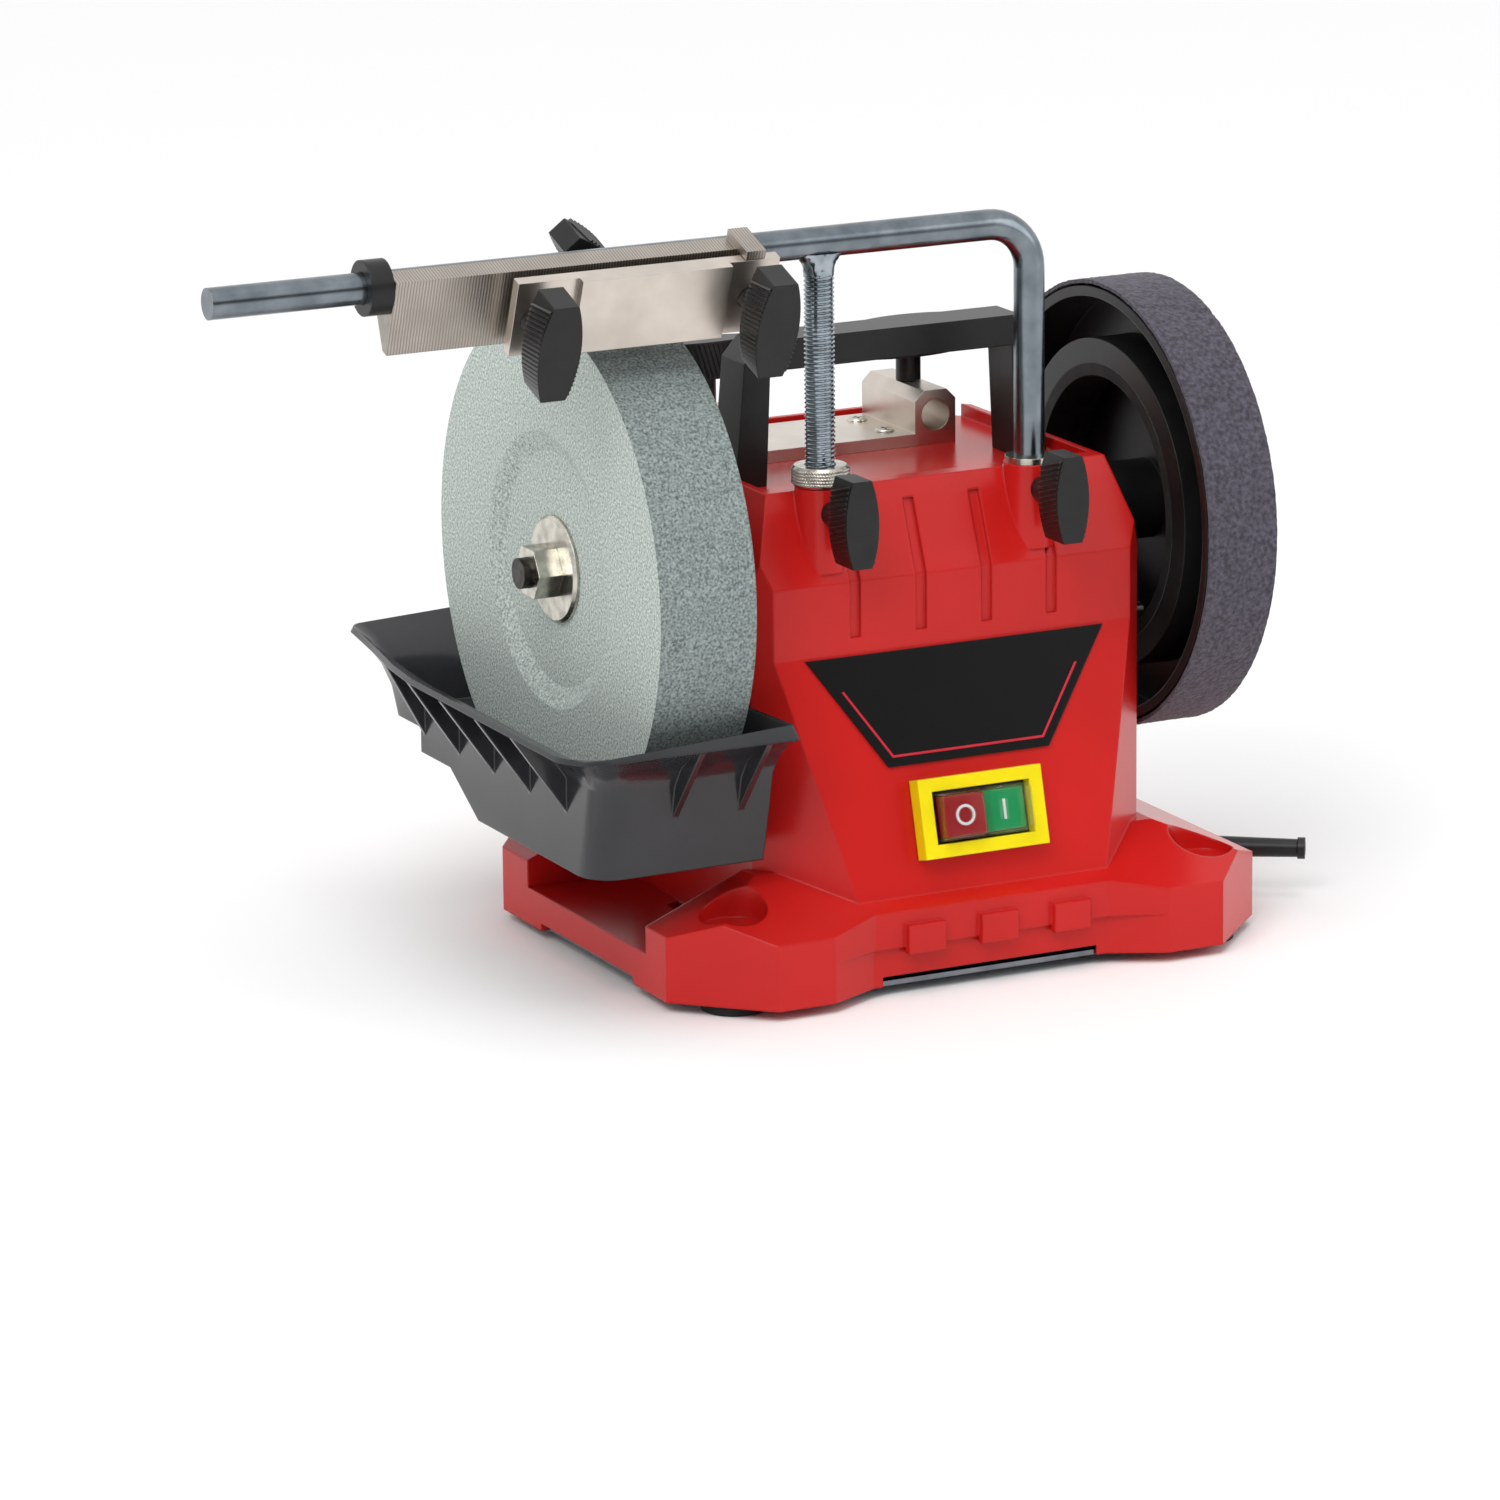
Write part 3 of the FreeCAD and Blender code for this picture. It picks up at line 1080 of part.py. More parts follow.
def build_cord_sleeve():
    """Bend sleeve where the mains lead leaves the base."""
    collar = rod("sleeve_collar", sleeve_collar, wall, 0, 0, 0, "X")
    plug = rod("sleeve_plug", sleeve_root - slip, wall * 2, -wall * 2 + overlap, 0, 0, "X")
    cone = doc.addObject("Part::Cone", "sleeve_cone")
    bind(cone, "Radius1", sleeve_root)
    bind(cone, "Radius2", sleeve_tip)
    bind(cone, "Height", sleeve_length)
    place(cone, 0, 0, 0, Y_AXIS, 90)
    bead = rod("sleeve_bead", sleeve_bead, wall, sleeve_length - wall, 0, 0, "X")
    bore = rod("sleeve_hole", sleeve_bore, sleeve_length, wall * 2, 0, 0, "X")
    swung = place(cut("sleeve_bored", fuse("sleeve_tube", cone, bead), bore), wall, 0, 0, Z_AXIS, -sleeve_swing)
    whole = fuse("cord_sleeve", collar, plug, swung)
    node("cord_sleeve", place(whole, base_half, -sleeve_y, sleeve_z))


build_housing()
build_underside()
build_lock_knobs()
build_support()
build_spindle()
build_honing_wheel()
build_motor()
build_handle()
build_sleeve_block()
build_tray()
build_jig()
build_switch()
build_cord_sleeve()
doc.recompute()

failed = [obj.Name for obj in doc.Objects if "Invalid" in obj.State or "Error" in obj.State]
if failed:
    raise RuntimeError("failed objects: " + ", ".join(failed))
for obj in nodes:
    if obj.Shape.isNull() or not obj.Shape.isValid():
        raise RuntimeError("bad shape: " + obj.Label)
os.makedirs("parts", exist_ok=True)
for obj in nodes:
    obj.Shape.exportStep(f"parts/{obj.Label}.step")
print(len(nodes), "sub-parts written")
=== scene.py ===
"""Dresses the wet grinding sharpener: finishes, tray, thread, knurl, ribs, leather, screws and switch."""
import json
import math

import bpy
from mathutils import Matrix, Vector


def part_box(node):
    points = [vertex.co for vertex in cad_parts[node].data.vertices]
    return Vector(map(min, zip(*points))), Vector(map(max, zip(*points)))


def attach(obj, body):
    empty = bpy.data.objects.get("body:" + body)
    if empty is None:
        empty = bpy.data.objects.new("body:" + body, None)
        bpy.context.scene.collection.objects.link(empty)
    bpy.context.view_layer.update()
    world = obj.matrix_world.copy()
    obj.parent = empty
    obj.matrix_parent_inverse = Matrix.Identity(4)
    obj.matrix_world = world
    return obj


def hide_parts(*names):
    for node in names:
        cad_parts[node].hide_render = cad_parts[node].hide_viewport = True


bl_info = {
    "name": "Wet grinding sharpener",
    "version": (1, 0, 0),
    "blender": (4, 5, 0),
    "location": "3D View > Sidebar > Sharpener",
    "description": "Finishes and fine pieces of a wet grinding sharpener",
    "category": "Object",
}

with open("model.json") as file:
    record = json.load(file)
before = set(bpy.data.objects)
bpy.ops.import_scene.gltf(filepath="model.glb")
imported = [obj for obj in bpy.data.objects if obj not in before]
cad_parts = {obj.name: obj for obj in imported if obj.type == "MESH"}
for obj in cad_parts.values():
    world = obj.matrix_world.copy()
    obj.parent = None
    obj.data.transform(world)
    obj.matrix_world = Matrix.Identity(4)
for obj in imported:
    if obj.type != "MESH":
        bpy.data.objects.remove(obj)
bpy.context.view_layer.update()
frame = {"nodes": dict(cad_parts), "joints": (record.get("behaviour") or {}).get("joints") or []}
NODES = frame["nodes"]
MM = 0.001

# Camera that was fitted to the photograph, in metres and degrees
PHOTO_PIXELS = 1500
FOCAL_PIXELS = 7137.55
SENSOR_MM = 36.0
CAMERA_PLACE = (-1.26143, -2.43052, 0.78343)
CAMERA_TURN = -26.321
CAMERA_DROP = 14.547
CAMERA_ROLL = -0.637

# Directions of the leaning front panel
PANEL_LEAN = math.radians(14.6)
PANEL_OUT = Vector((0, -math.cos(PANEL_LEAN), math.sin(PANEL_LEAN)))
PANEL_UP = Vector((0, math.sin(PANEL_LEAN), math.cos(PANEL_LEAN)))

SMOOTH_ANGLE = math.radians(35)
# Distance within which points count as one, and share of a normal that counts as facing a way
NEAR = 0.00001
FACING = 0.9


class SharpenerSizes(bpy.types.PropertyGroup):
    """Sizes of the fine pieces."""
    thread_pitch: bpy.props.FloatProperty(
        name="Thread pitch", description="Rise of the lift thread in one turn",
        default=1.75 * MM, unit="LENGTH")
    thread_depth: bpy.props.FloatProperty(
        name="Thread depth", description="Depth of the lift thread", default=1.0 * MM, unit="LENGTH")
    knurl_height: bpy.props.FloatProperty(
        name="Knurl height", description="Height of the points on the lift nut",
        default=0.5 * MM, unit="LENGTH")
    knurl_count: bpy.props.IntProperty(
        name="Knurl count", description="Points round the lift nut", default=60)
    grip_pitch: bpy.props.FloatProperty(
        name="Grip pitch", description="Spacing of the ribs on the wing knobs",
        default=1.9 * MM, unit="LENGTH")
    grip_height: bpy.props.FloatProperty(
        name="Grip height", description="Height of the ribs on the wing knobs",
        default=0.65 * MM, unit="LENGTH")
    tray_flare: bpy.props.FloatProperty(
        name="Tray flare", description="Width of the tray's sloping rim", default=23.0 * MM, unit="LENGTH")
    tray_flare_height: bpy.props.FloatProperty(
        name="Tray flare height", description="Height of the tray's sloping rim",
        default=18.0 * MM, unit="LENGTH")
    tray_wall: bpy.props.FloatProperty(
        name="Tray wall", description="Thickness of the tray", default=2.2 * MM, unit="LENGTH")
    leather_nap: bpy.props.FloatProperty(
        name="Leather nap", description="Depth of the leather's rough nap", default=0.9 * MM, unit="LENGTH")
    badge_line: bpy.props.FloatProperty(
        name="Badge line", description="Width of the red line on the badge", default=1.0 * MM, unit="LENGTH")
    badge_margin: bpy.props.FloatProperty(
        name="Badge margin", description="Black edge outside the red line", default=3.6 * MM, unit="LENGTH")
    soft_edge: bpy.props.FloatProperty(
        name="Soft edge", description="Radius of moulded edges", default=1.3 * MM, unit="LENGTH")


class SharpenerColours(bpy.types.PropertyGroup):
    """Colours of the finishes, as sRGB hex."""
    housing: bpy.props.StringProperty(name="Housing", description="Moulded red housing", default="#C81E1B")
    black: bpy.props.StringProperty(
        name="Black plastic", description="Knobs, handle and hub", default="#191919")
    tray: bpy.props.StringProperty(name="Tray", description="Water tray", default="#28292C")
    stone: bpy.props.StringProperty(
        name="Stone face", description="Dry flat side of the stone", default="#C4CEC9")
    stone_rim: bpy.props.StringProperty(
        name="Stone rim", description="Open grit of the rim", default="#7E8886")
    zinc: bpy.props.StringProperty(name="Zinc", description="Zinc plated steel", default="#848C92")
    zinc_dark: bpy.props.StringProperty(
        name="Zinc cloud", description="Dark clouds in the plating", default="#697178")
    aluminium: bpy.props.StringProperty(name="Aluminium", description="Jig and block", default="#D2C9BF")
    leather: bpy.props.StringProperty(
        name="Honing leather", description="Band of the honing wheel", default="#484450")
    yellow: bpy.props.StringProperty(name="Switch frame", description="Yellow frame", default="#F4E010")
    stop: bpy.props.StringProperty(name="Stop button", description="Red button", default="#8E0A12")
    start: bpy.props.StringProperty(name="Start button", description="Green button", default="#05894B")
    badge: bpy.props.StringProperty(name="Badge", description="Bare badge plate", default="#0E0E0E")
    line: bpy.props.StringProperty(name="Badge line", description="Line on the badge", default="#D03040")
    floor: bpy.props.StringProperty(name="Floor", description="Studio floor", default="#FAFAFA")
    flag: bpy.props.StringProperty(name="Flag", description="Dark card behind the camera", default="#2E2E30")


def linear(text, share=1.0):
    """Linear colour of an sRGB hex value, or a share of it."""
    parts = [int(text[i:i + 2], 16) / 255 for i in (1, 3, 5)]
    bare = [p / 12.92 if p <= 0.04045 else ((p + 0.055) / 1.055) ** 2.4 for p in parts]
    return tuple(min(1.0, share * p) for p in bare) + (1.0,)


# Numbers of a Mix node's colour sockets: first colour, second colour and result
MIX_LOW = 6
MIX_HIGH = 7
MIX_OUT = 2


def add_node(tree, kind, settings=(), links=()):
    """Add one shader node; keys name its sockets, by name or number, or its own settings."""
    made = tree.nodes.new(kind)
    for key, value in dict(settings).items():
        if isinstance(key, int) or key in made.inputs:
            made.inputs[key].default_value = value
        else:
            setattr(made, key, value)
    for key, source in dict(links).items():
        tree.links.new(source, made.inputs[key])
    return made


def bare_finish(name, **sockets):
    """A new material with constants on its shader's sockets."""
    made = bpy.data.materials.new(name)
    made.use_nodes = True
    for key, value in sockets.items():
        made.node_tree.nodes["Principled BSDF"].inputs[key.replace("_", " ")].default_value = value
    return made


def mottled(name, low, high, patch, relief, height, edge=0.0, spread=0.15, **sockets):
    """A finish that drifts between two colours, with fine relief and softened edges, in millimetres."""
    made = bare_finish(name, **sockets)
    tree = made.node_tree
    shader = tree.nodes["Principled BSDF"]
    place = add_node(tree, "ShaderNodeTexCoord").outputs["Object"]
    clouds = add_node(tree, "ShaderNodeTexNoise", {"Scale": 1000 / patch, "Detail": 4.0}, {"Vector": place})
    share = add_node(tree, "ShaderNodeMapRange", {"From Min": 0.5 - spread, "From Max": 0.5 + spread},
                     {"Value": clouds.outputs["Fac"]})
    colour = add_node(tree, "ShaderNodeMix", {"data_type": "RGBA", MIX_LOW: low, MIX_HIGH: high},
                      {0: share.outputs["Result"]})
    tree.links.new(colour.outputs[MIX_OUT], shader.inputs["Base Color"])
    grain = add_node(tree, "ShaderNodeTexNoise", {"Scale": 1000 / relief, "Detail": 3.0}, {"Vector": place})
    bump = add_node(tree, "ShaderNodeBump", {"Distance": height * MM, "Strength": 1.0},
                    {"Height": grain.outputs["Fac"]})
    if edge:
        soft = add_node(tree, "ShaderNodeBevel", {"samples": 6, "Radius": edge * MM})
        tree.links.new(soft.outputs["Normal"], bump.inputs["Normal"])
    tree.links.new(bump.outputs["Normal"], shader.inputs["Normal"])
    return made


def stone_finish(colours):
    """Bonded corundum: pale dry sides and a darker rim; the 0.3 mm grit is drawn as 1 mm to show."""
    made = mottled("bonded_corundum_stone", linear(colours.stone, 0.5), linear(colours.stone, 1.22),
                   patch=1, relief=1, height=0.3, edge=0.8, spread=0.17,
                   Roughness=0.92, IOR=1.5, Specular_IOR_Level=0.25)
    tree = made.node_tree
    shader = tree.nodes["Principled BSDF"]
    pale = shader.inputs["Base Color"].links[0].from_node
    rim_colours = {MIX_LOW: linear(colours.stone_rim, 0.5), MIX_HIGH: linear(colours.stone_rim, 1.6)}
    rim = add_node(tree, "ShaderNodeMix", {"data_type": "RGBA", **rim_colours},
                   {0: pale.inputs[0].links[0].from_socket})
    place = add_node(tree, "ShaderNodeTexCoord")
    way = add_node(tree, "ShaderNodeSeparateXYZ", (), {0: place.outputs["Normal"]})
    side = add_node(tree, "ShaderNodeMath", {"operation": "ABSOLUTE"}, {0: way.outputs["X"]})
    whole = add_node(tree, "ShaderNodeMix", {"data_type": "RGBA"},
                     {0: side.outputs[0], MIX_LOW: rim.outputs[MIX_OUT], MIX_HIGH: pale.outputs[MIX_OUT]})
    tree.links.new(whole.outputs[MIX_OUT], shader.inputs["Base Color"])
    return made


# Spacing of the cutter lines, and of the wave texture's lines at scale 1, in millimetres
CUTTER_LINE = 1.2
WAVE_LINE = 314


def milled_and_shaded_finish(colours):
    """Milled aluminium: the same warm metal darkened as painted shade, with cutter lines; the 0.6 mm lines
    are drawn as 1.2 mm to show.
    """
    # Darker shares of the aluminium colour than the ground finish: painted shade
    made = mottled("milled_aluminium", linear(colours.aluminium, 0.68), linear(colours.aluminium, 0.86),
                   patch=18, relief=1.5, height=0.01, edge=0.4, Metallic=1.0, Roughness=0.36)
    tree = made.node_tree
    shader = tree.nodes["Principled BSDF"]
    place = add_node(tree, "ShaderNodeTexCoord").outputs["Object"]
    waves = {"Scale": WAVE_LINE / CUTTER_LINE, "Distortion": 1.2, "Detail": 2.0}
    lines = add_node(tree, "ShaderNodeTexWave", waves, {"Vector": place}).outputs["Fac"]
    rough = add_node(tree, "ShaderNodeMapRange", {"To Min": 0.3, "To Max": 0.44}, {"Value": lines})
    tree.links.new(rough.outputs["Result"], shader.inputs["Roughness"])
    pale = shader.inputs["Base Color"].links[0].from_socket
    colour = add_node(tree, "ShaderNodeMix", {"data_type": "RGBA", MIX_LOW: linear(colours.aluminium, 0.42)},
                      {0: lines, MIX_HIGH: pale})
    tree.links.new(colour.outputs[MIX_OUT], shader.inputs["Base Color"])
    under = shader.inputs["Normal"].links[0].from_socket
    bump = add_node(tree, "ShaderNodeBump", {"Distance": 0.03 * MM, "Strength": 0.6},
                    {"Height": lines, "Normal": under})
    tree.links.new(bump.outputs["Normal"], shader.inputs["Normal"])
    return made


def make_finishes(colours, sizes):
    """Every material of the machine, by its short name."""
    soft = sizes.soft_edge / MM
    # The milled finish is the aluminium darkened as painted shade, with cutter lines
    made = {"stone": stone_finish(colours), "milled": milled_and_shaded_finish(colours)}
    # Ground aluminium: warm bright metal with faint clouds
    made["aluminium"] = mottled(
        "ground_aluminium", linear(colours.aluminium, 0.9), linear(colours.aluminium, 1.05),
        patch=18, relief=1.5, height=0.01, edge=0.4, Metallic=1.0, Roughness=0.32)
    # Moulded ABS: glossy red skin with a faint orange peel
    made["housing"] = mottled(
        "moulded_red_abs", linear(colours.housing, 0.88), linear(colours.housing),
        patch=70, relief=4, height=0.015, edge=soft, Roughness=0.24, IOR=1.53, Specular_IOR_Level=0.24)
    # Moulded nylon: satin black with a fine eroded texture
    made["black"] = mottled(
        "moulded_black_nylon", linear(colours.black, 0.7), linear(colours.black, 1.1),
        patch=12, relief=0.7, height=0.03, edge=soft * 0.6, Roughness=0.36, IOR=1.53, Specular_IOR_Level=0.3)
    # The same nylon on the ribs, painted lighter than the black as painted highlight, with crisp edges that
    # catch the light; 1.2 mm ribs are drawn as 1.9 mm to show
    made["grip"] = mottled(
        "ribbed_black_nylon", linear(colours.black, 1.2), linear(colours.black, 2.4),
        patch=12, relief=0.7, height=0.02, Roughness=0.32, IOR=1.53, Specular_IOR_Level=0.5)
    # Polished polypropylene: black with wide soft reflections
    made["tray"] = mottled(
        "polished_black_polypropylene", linear(colours.tray, 0.8), linear(colours.tray, 1.1),
        patch=33, relief=8, height=0.03, edge=soft * 0.7, Roughness=0.16, IOR=1.49)
    # Zinc plating: bluish metal in cloudy patches, a little rough
    made["zinc"] = mottled(
        "zinc_plated_steel", linear(colours.zinc_dark), linear(colours.zinc),
        patch=9, relief=3, height=0.006, edge=0.3, spread=0.2, Metallic=1.0, Roughness=0.24)
    # The same plating on the rolled thread, painted brighter as painted highlight, with crisp crests
    made["thread"] = mottled(
        "zinc_plated_thread", linear(colours.zinc), linear(colours.zinc, 1.6),
        patch=9, relief=3, height=0.006, Metallic=1.0, Roughness=0.2)
    # Nickel plated turned steel: warm bright metal
    made["steel"] = mottled(
        "nickel_plated_steel", linear("#A6A39B"), linear("#D2CEC2"),
        patch=5, relief=0.8, height=0.02, edge=0.4, Metallic=1.0, Roughness=0.24)
    # Black oxide: dark metal with a dull shine
    made["oxide"] = mottled(
        "black_oxide_steel", linear("#2A2826"), linear("#4A4642"),
        patch=3, relief=1.1, height=0.03, edge=0.6, Metallic=1.0, Roughness=0.4)
    # Stained honing leather: matt, with a fibrous nap that is drawn at 1.8 mm to show
    made["leather"] = mottled(
        "stained_honing_leather", linear(colours.leather, 0.45), linear(colours.leather, 1.4),
        patch=1.8, relief=1.3, height=0.5, Roughness=0.88, Sheen_Weight=0.15, Sheen_Roughness=0.5)
    # Moulded rubber: matt black
    made["rubber"] = mottled(
        "moulded_rubber", linear("#101010"), linear("#222020"),
        patch=8, relief=1.1, height=0.08, edge=0.6, Roughness=0.72, IOR=1.52, Specular_IOR_Level=0.35)
    # Laminated iron of the motor: dark dull metal
    made["iron"] = mottled(
        "laminated_iron", linear("#4A4A4C"), linear("#77777A"),
        patch=11, relief=1.4, height=0.08, Metallic=1.0, Roughness=0.55)
    # Sintered bronze: brown metal with open pores
    made["bronze"] = mottled(
        "sintered_bronze", linear("#7A5B33"), linear("#A88552"),
        patch=3.3, relief=0.7, height=0.03, Metallic=1.0, Roughness=0.45)
    # Clear soft vinyl: the buttons show through, with pale edges
    made["clear"] = mottled(
        "clear_soft_vinyl", linear("#E6ECEC"), linear("#FFFFFF"), patch=12, relief=5, height=0.01,
        Roughness=0.1, IOR=1.4, Transmission_Weight=0.95, Alpha=0.11, Specular_IOR_Level=0.4)
    # Moulded and printed plastics of the switch and the badge: smooth, with a soft gloss
    for key, text in (("yellow", colours.yellow), ("stop", colours.stop), ("start", colours.start),
                      ("badge", colours.badge), ("line", colours.line), ("mark", "#E4E4E4")):
        made[key] = mottled(
            f"moulded_{key}_plastic", linear(text, 0.88), linear(text),
            patch=17, relief=1.4, height=0.01, edge=0.8, Roughness=0.3, IOR=1.53, Specular_IOR_Level=0.16)
    return made


FINISHES = {}
NODE_FINISH = {
    "housing": ["housing"],
    "black": ["handle", "stone_flange", "honing_hub", "jig_end_rings", "switch_body", "cord_sleeve",
              "left_lock_knob", "right_lock_knob", "left_clamp_knob", "right_clamp_knob", "jig_lock_knob",
              "left_sleeve_knob", "right_sleeve_knob"],
    "stone": ["wet_stone"],
    "zinc": ["support_bar", "motor_bracket", "bottom_plate_screws", "handle_screws", "bottom_plate"],
    "oxide": ["main_shaft"],
    "steel": ["stone_nut", "stone_washer", "hub_nut", "motor_shaft", "motor_bearings", "rod_bushes"],
    # Jig body and square stop take the aluminium darkened as painted shade
    "milled": ["jig_body", "square_stop"],
    "aluminium": ["clamp_plate", "sleeve_block", "motor_end_shields", "capacitor"],
    "rubber": ["rubber_feet", "friction_ring"],
    "yellow": ["switch_frame"],
    "stop": ["stop_button"],
    "start": ["start_button"],
    "badge": ["front_badge"],
    "iron": ["motor_stator", "motor_rotor"],
    "bronze": ["spindle_bearings"],
}


def put_on(piece, key):
    """Give a piece one finish."""
    piece.data.materials.clear()
    piece.data.materials.append(FINISHES[key])


def leave():
    """Leave edit mode."""
    bpy.ops.object.mode_set(mode="OBJECT")


def everything():
    """Select the whole of the piece in edit mode."""
    bpy.ops.mesh.select_all(action="SELECT")


def pull(kind, by):
    """Extrude what is selected, as vertices, edges or a region, by a distance."""
    getattr(bpy.ops.mesh, f"extrude_{kind}_move")(TRANSFORM_OT_translate={"value": by})


def apply_place():
    """Put the place, turn and scale of the selected piece in its mesh."""
    bpy.ops.object.transform_apply(location=True, rotation=True, scale=True)


def fresh():
    """Leave edit mode with nothing selected."""
    if bpy.context.object and bpy.context.object.mode == "EDIT":
        leave()
    bpy.ops.object.select_all(action="DESELECT")


def hold(piece):
    """Make one piece the only one selected."""
    fresh()
    piece.select_set(True)
    bpy.context.view_layer.objects.active = piece


def settle(piece, name, key, body, replaced=()):
    """Name a finished piece, put its place in its mesh, and join it to the frame."""
    piece.name = name
    hold(piece)
    apply_place()
    bpy.ops.object.shade_smooth_by_angle(angle=SMOOTH_ANGLE)
    put_on(piece, key)
    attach(piece, body)
    if replaced:
        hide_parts(*replaced)


def edit(select="DESELECT", mode="FACE"):
    """Enter edit mode on the active piece."""
    bpy.ops.object.mode_set(mode="EDIT")
    bpy.ops.mesh.select_mode(type=mode)
    bpy.ops.mesh.select_all(action=select)


def pick(test, kind="polygons"):
    """Select faces, edges or vertices of the active piece by a test."""
    bpy.ops.mesh.select_mode(type={"polygons": "FACE", "edges": "EDGE", "vertices": "VERT"}[kind])
    leave()
    mesh = bpy.context.object.data
    for group in (mesh.vertices, mesh.edges, mesh.polygons):
        group.foreach_set("select", [False] * len(group))
    for part in getattr(mesh, kind):
        part.select = test(part)
    bpy.ops.object.mode_set(mode="EDIT")


def close_shell():
    """Merge doubles and turn the faces outwards."""
    everything()
    bpy.ops.mesh.remove_doubles(threshold=NEAR)
    bpy.ops.mesh.normals_make_consistent(inside=False)
    leave()


def copied(piece, place):
    """A copy of a piece, with its own mesh, at a place."""
    hold(piece)
    bpy.ops.object.duplicate()
    copy = bpy.context.object
    copy.matrix_world = place
    apply_place()
    return copy


def joined(pieces):
    """Join pieces into the first of them."""
    fresh()
    for piece in pieces:
        piece.select_set(True)
    bpy.context.view_layer.objects.active = pieces[0]
    bpy.ops.object.join()
    return pieces[0]


def repeated(pattern, places):
    """Copies of a pattern at places, joined into one piece; the pattern itself goes."""
    made = joined([copied(pattern, place) for place in places])
    bpy.data.objects.remove(pattern)
    return made


def prism(points, along):
    """A solid drawn point by point and pulled along a direction."""
    fresh()
    bpy.ops.mesh.primitive_plane_add(size=MM)
    made = bpy.context.object
    edit("SELECT", "VERT")
    bpy.ops.mesh.merge(type="CENTER")
    bpy.ops.transform.translate(value=points[0])
    for before, after in zip(points, points[1:]):
        pull("vertices", after - before)
    everything()
    bpy.ops.mesh.edge_face_add()
    pull("region", along)
    close_shell()
    return made


def block(size):
    """A box of a size, centred on the origin, to be shaped further."""
    fresh()
    bpy.ops.mesh.primitive_cube_add(size=1)
    made = bpy.context.object
    made.scale = size
    apply_place()
    return made


def finish_with(piece, kind, **values):
    """Add one modifier to a piece and apply it."""
    hold(piece)
    made = piece.modifiers.new("finish", kind)
    for key, value in values.items():
        setattr(made, key, value)
    bpy.ops.object.modifier_apply(modifier="finish")


def middle(node):
    """Centre of a CAD node's box."""
    low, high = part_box(node)
    return (low + high) / 2


def settings():
    """The scene's sizes."""
    return bpy.context.scene.sharpener_sizes


class SHARPENER_OT_finishes(bpy.types.Operator):
    """Make every finish and give it to the construction's own pieces."""
    bl_idname = "sharpener.finishes"
    bl_label = "Finishes"

    def execute(self, context):
        FINISHES.update(make_finishes(context.scene.sharpener_colours, settings()))
        for key, names in NODE_FINISH.items():
            for name in names:
                put_on(NODES[name], key)
        return {"FINISHED"}


# Side of the tray below its flare: millimetres from its front rim and from its floor
TRAY_SIDE = ((26, 36.5), (35, 0), (140, 0), (166, 15.5), (194, 15.5), (194, 25.5), (222, 25.5), (228, 36.5))
# Steps of the flare: shares of its height and of its width
TRAY_FLARE = ((0.44, 0.24), (0.78, 0.6), (1.0, 1.0))
# How far the rim stands left of the construction's tray
TRAY_LEFT_OUT = 13 * MM
# Radius of the front left corner, and the longest run along the tray of an edge that is rounded there
TRAY_CORNER = 13 * MM
TRAY_CORNER_RUN = 20 * MM
TRAY_CORNER_STEPS = 6
# How far the left rim draws in at the back, where that starts, and where the rim is cut to bend
TRAY_BOW = 15 * MM
TRAY_BOW_START = 20 * MM
TRAY_BOW_CUTS = (45 * MM, 70 * MM, 95 * MM)
# Gussets: drop below the fold, thickness, places, and shares of the flare that they fill
GUSSET_DROP = 15 * MM
GUSSET_THICK = 2.6 * MM
SIDE_GUSSETS = [(-51.5 + 33 * number) * MM for number in range(5)]
FRONT_GUSSETS = (-131 * MM, -103 * MM)
GUSSET_WIDE = 0.97
GUSSET_TALL = 0.985
# Dovetail at the tower, and how far it and the gussets reach into the wall
TAIL_DEPTH = 5 * MM
TAIL_NARROW = 8 * MM
TAIL_WIDE = 11 * MM
TAIL_LOW = 66 * MM
TAIL_HIGH = 110 * MM
WALL_SUNK = 1 * MM


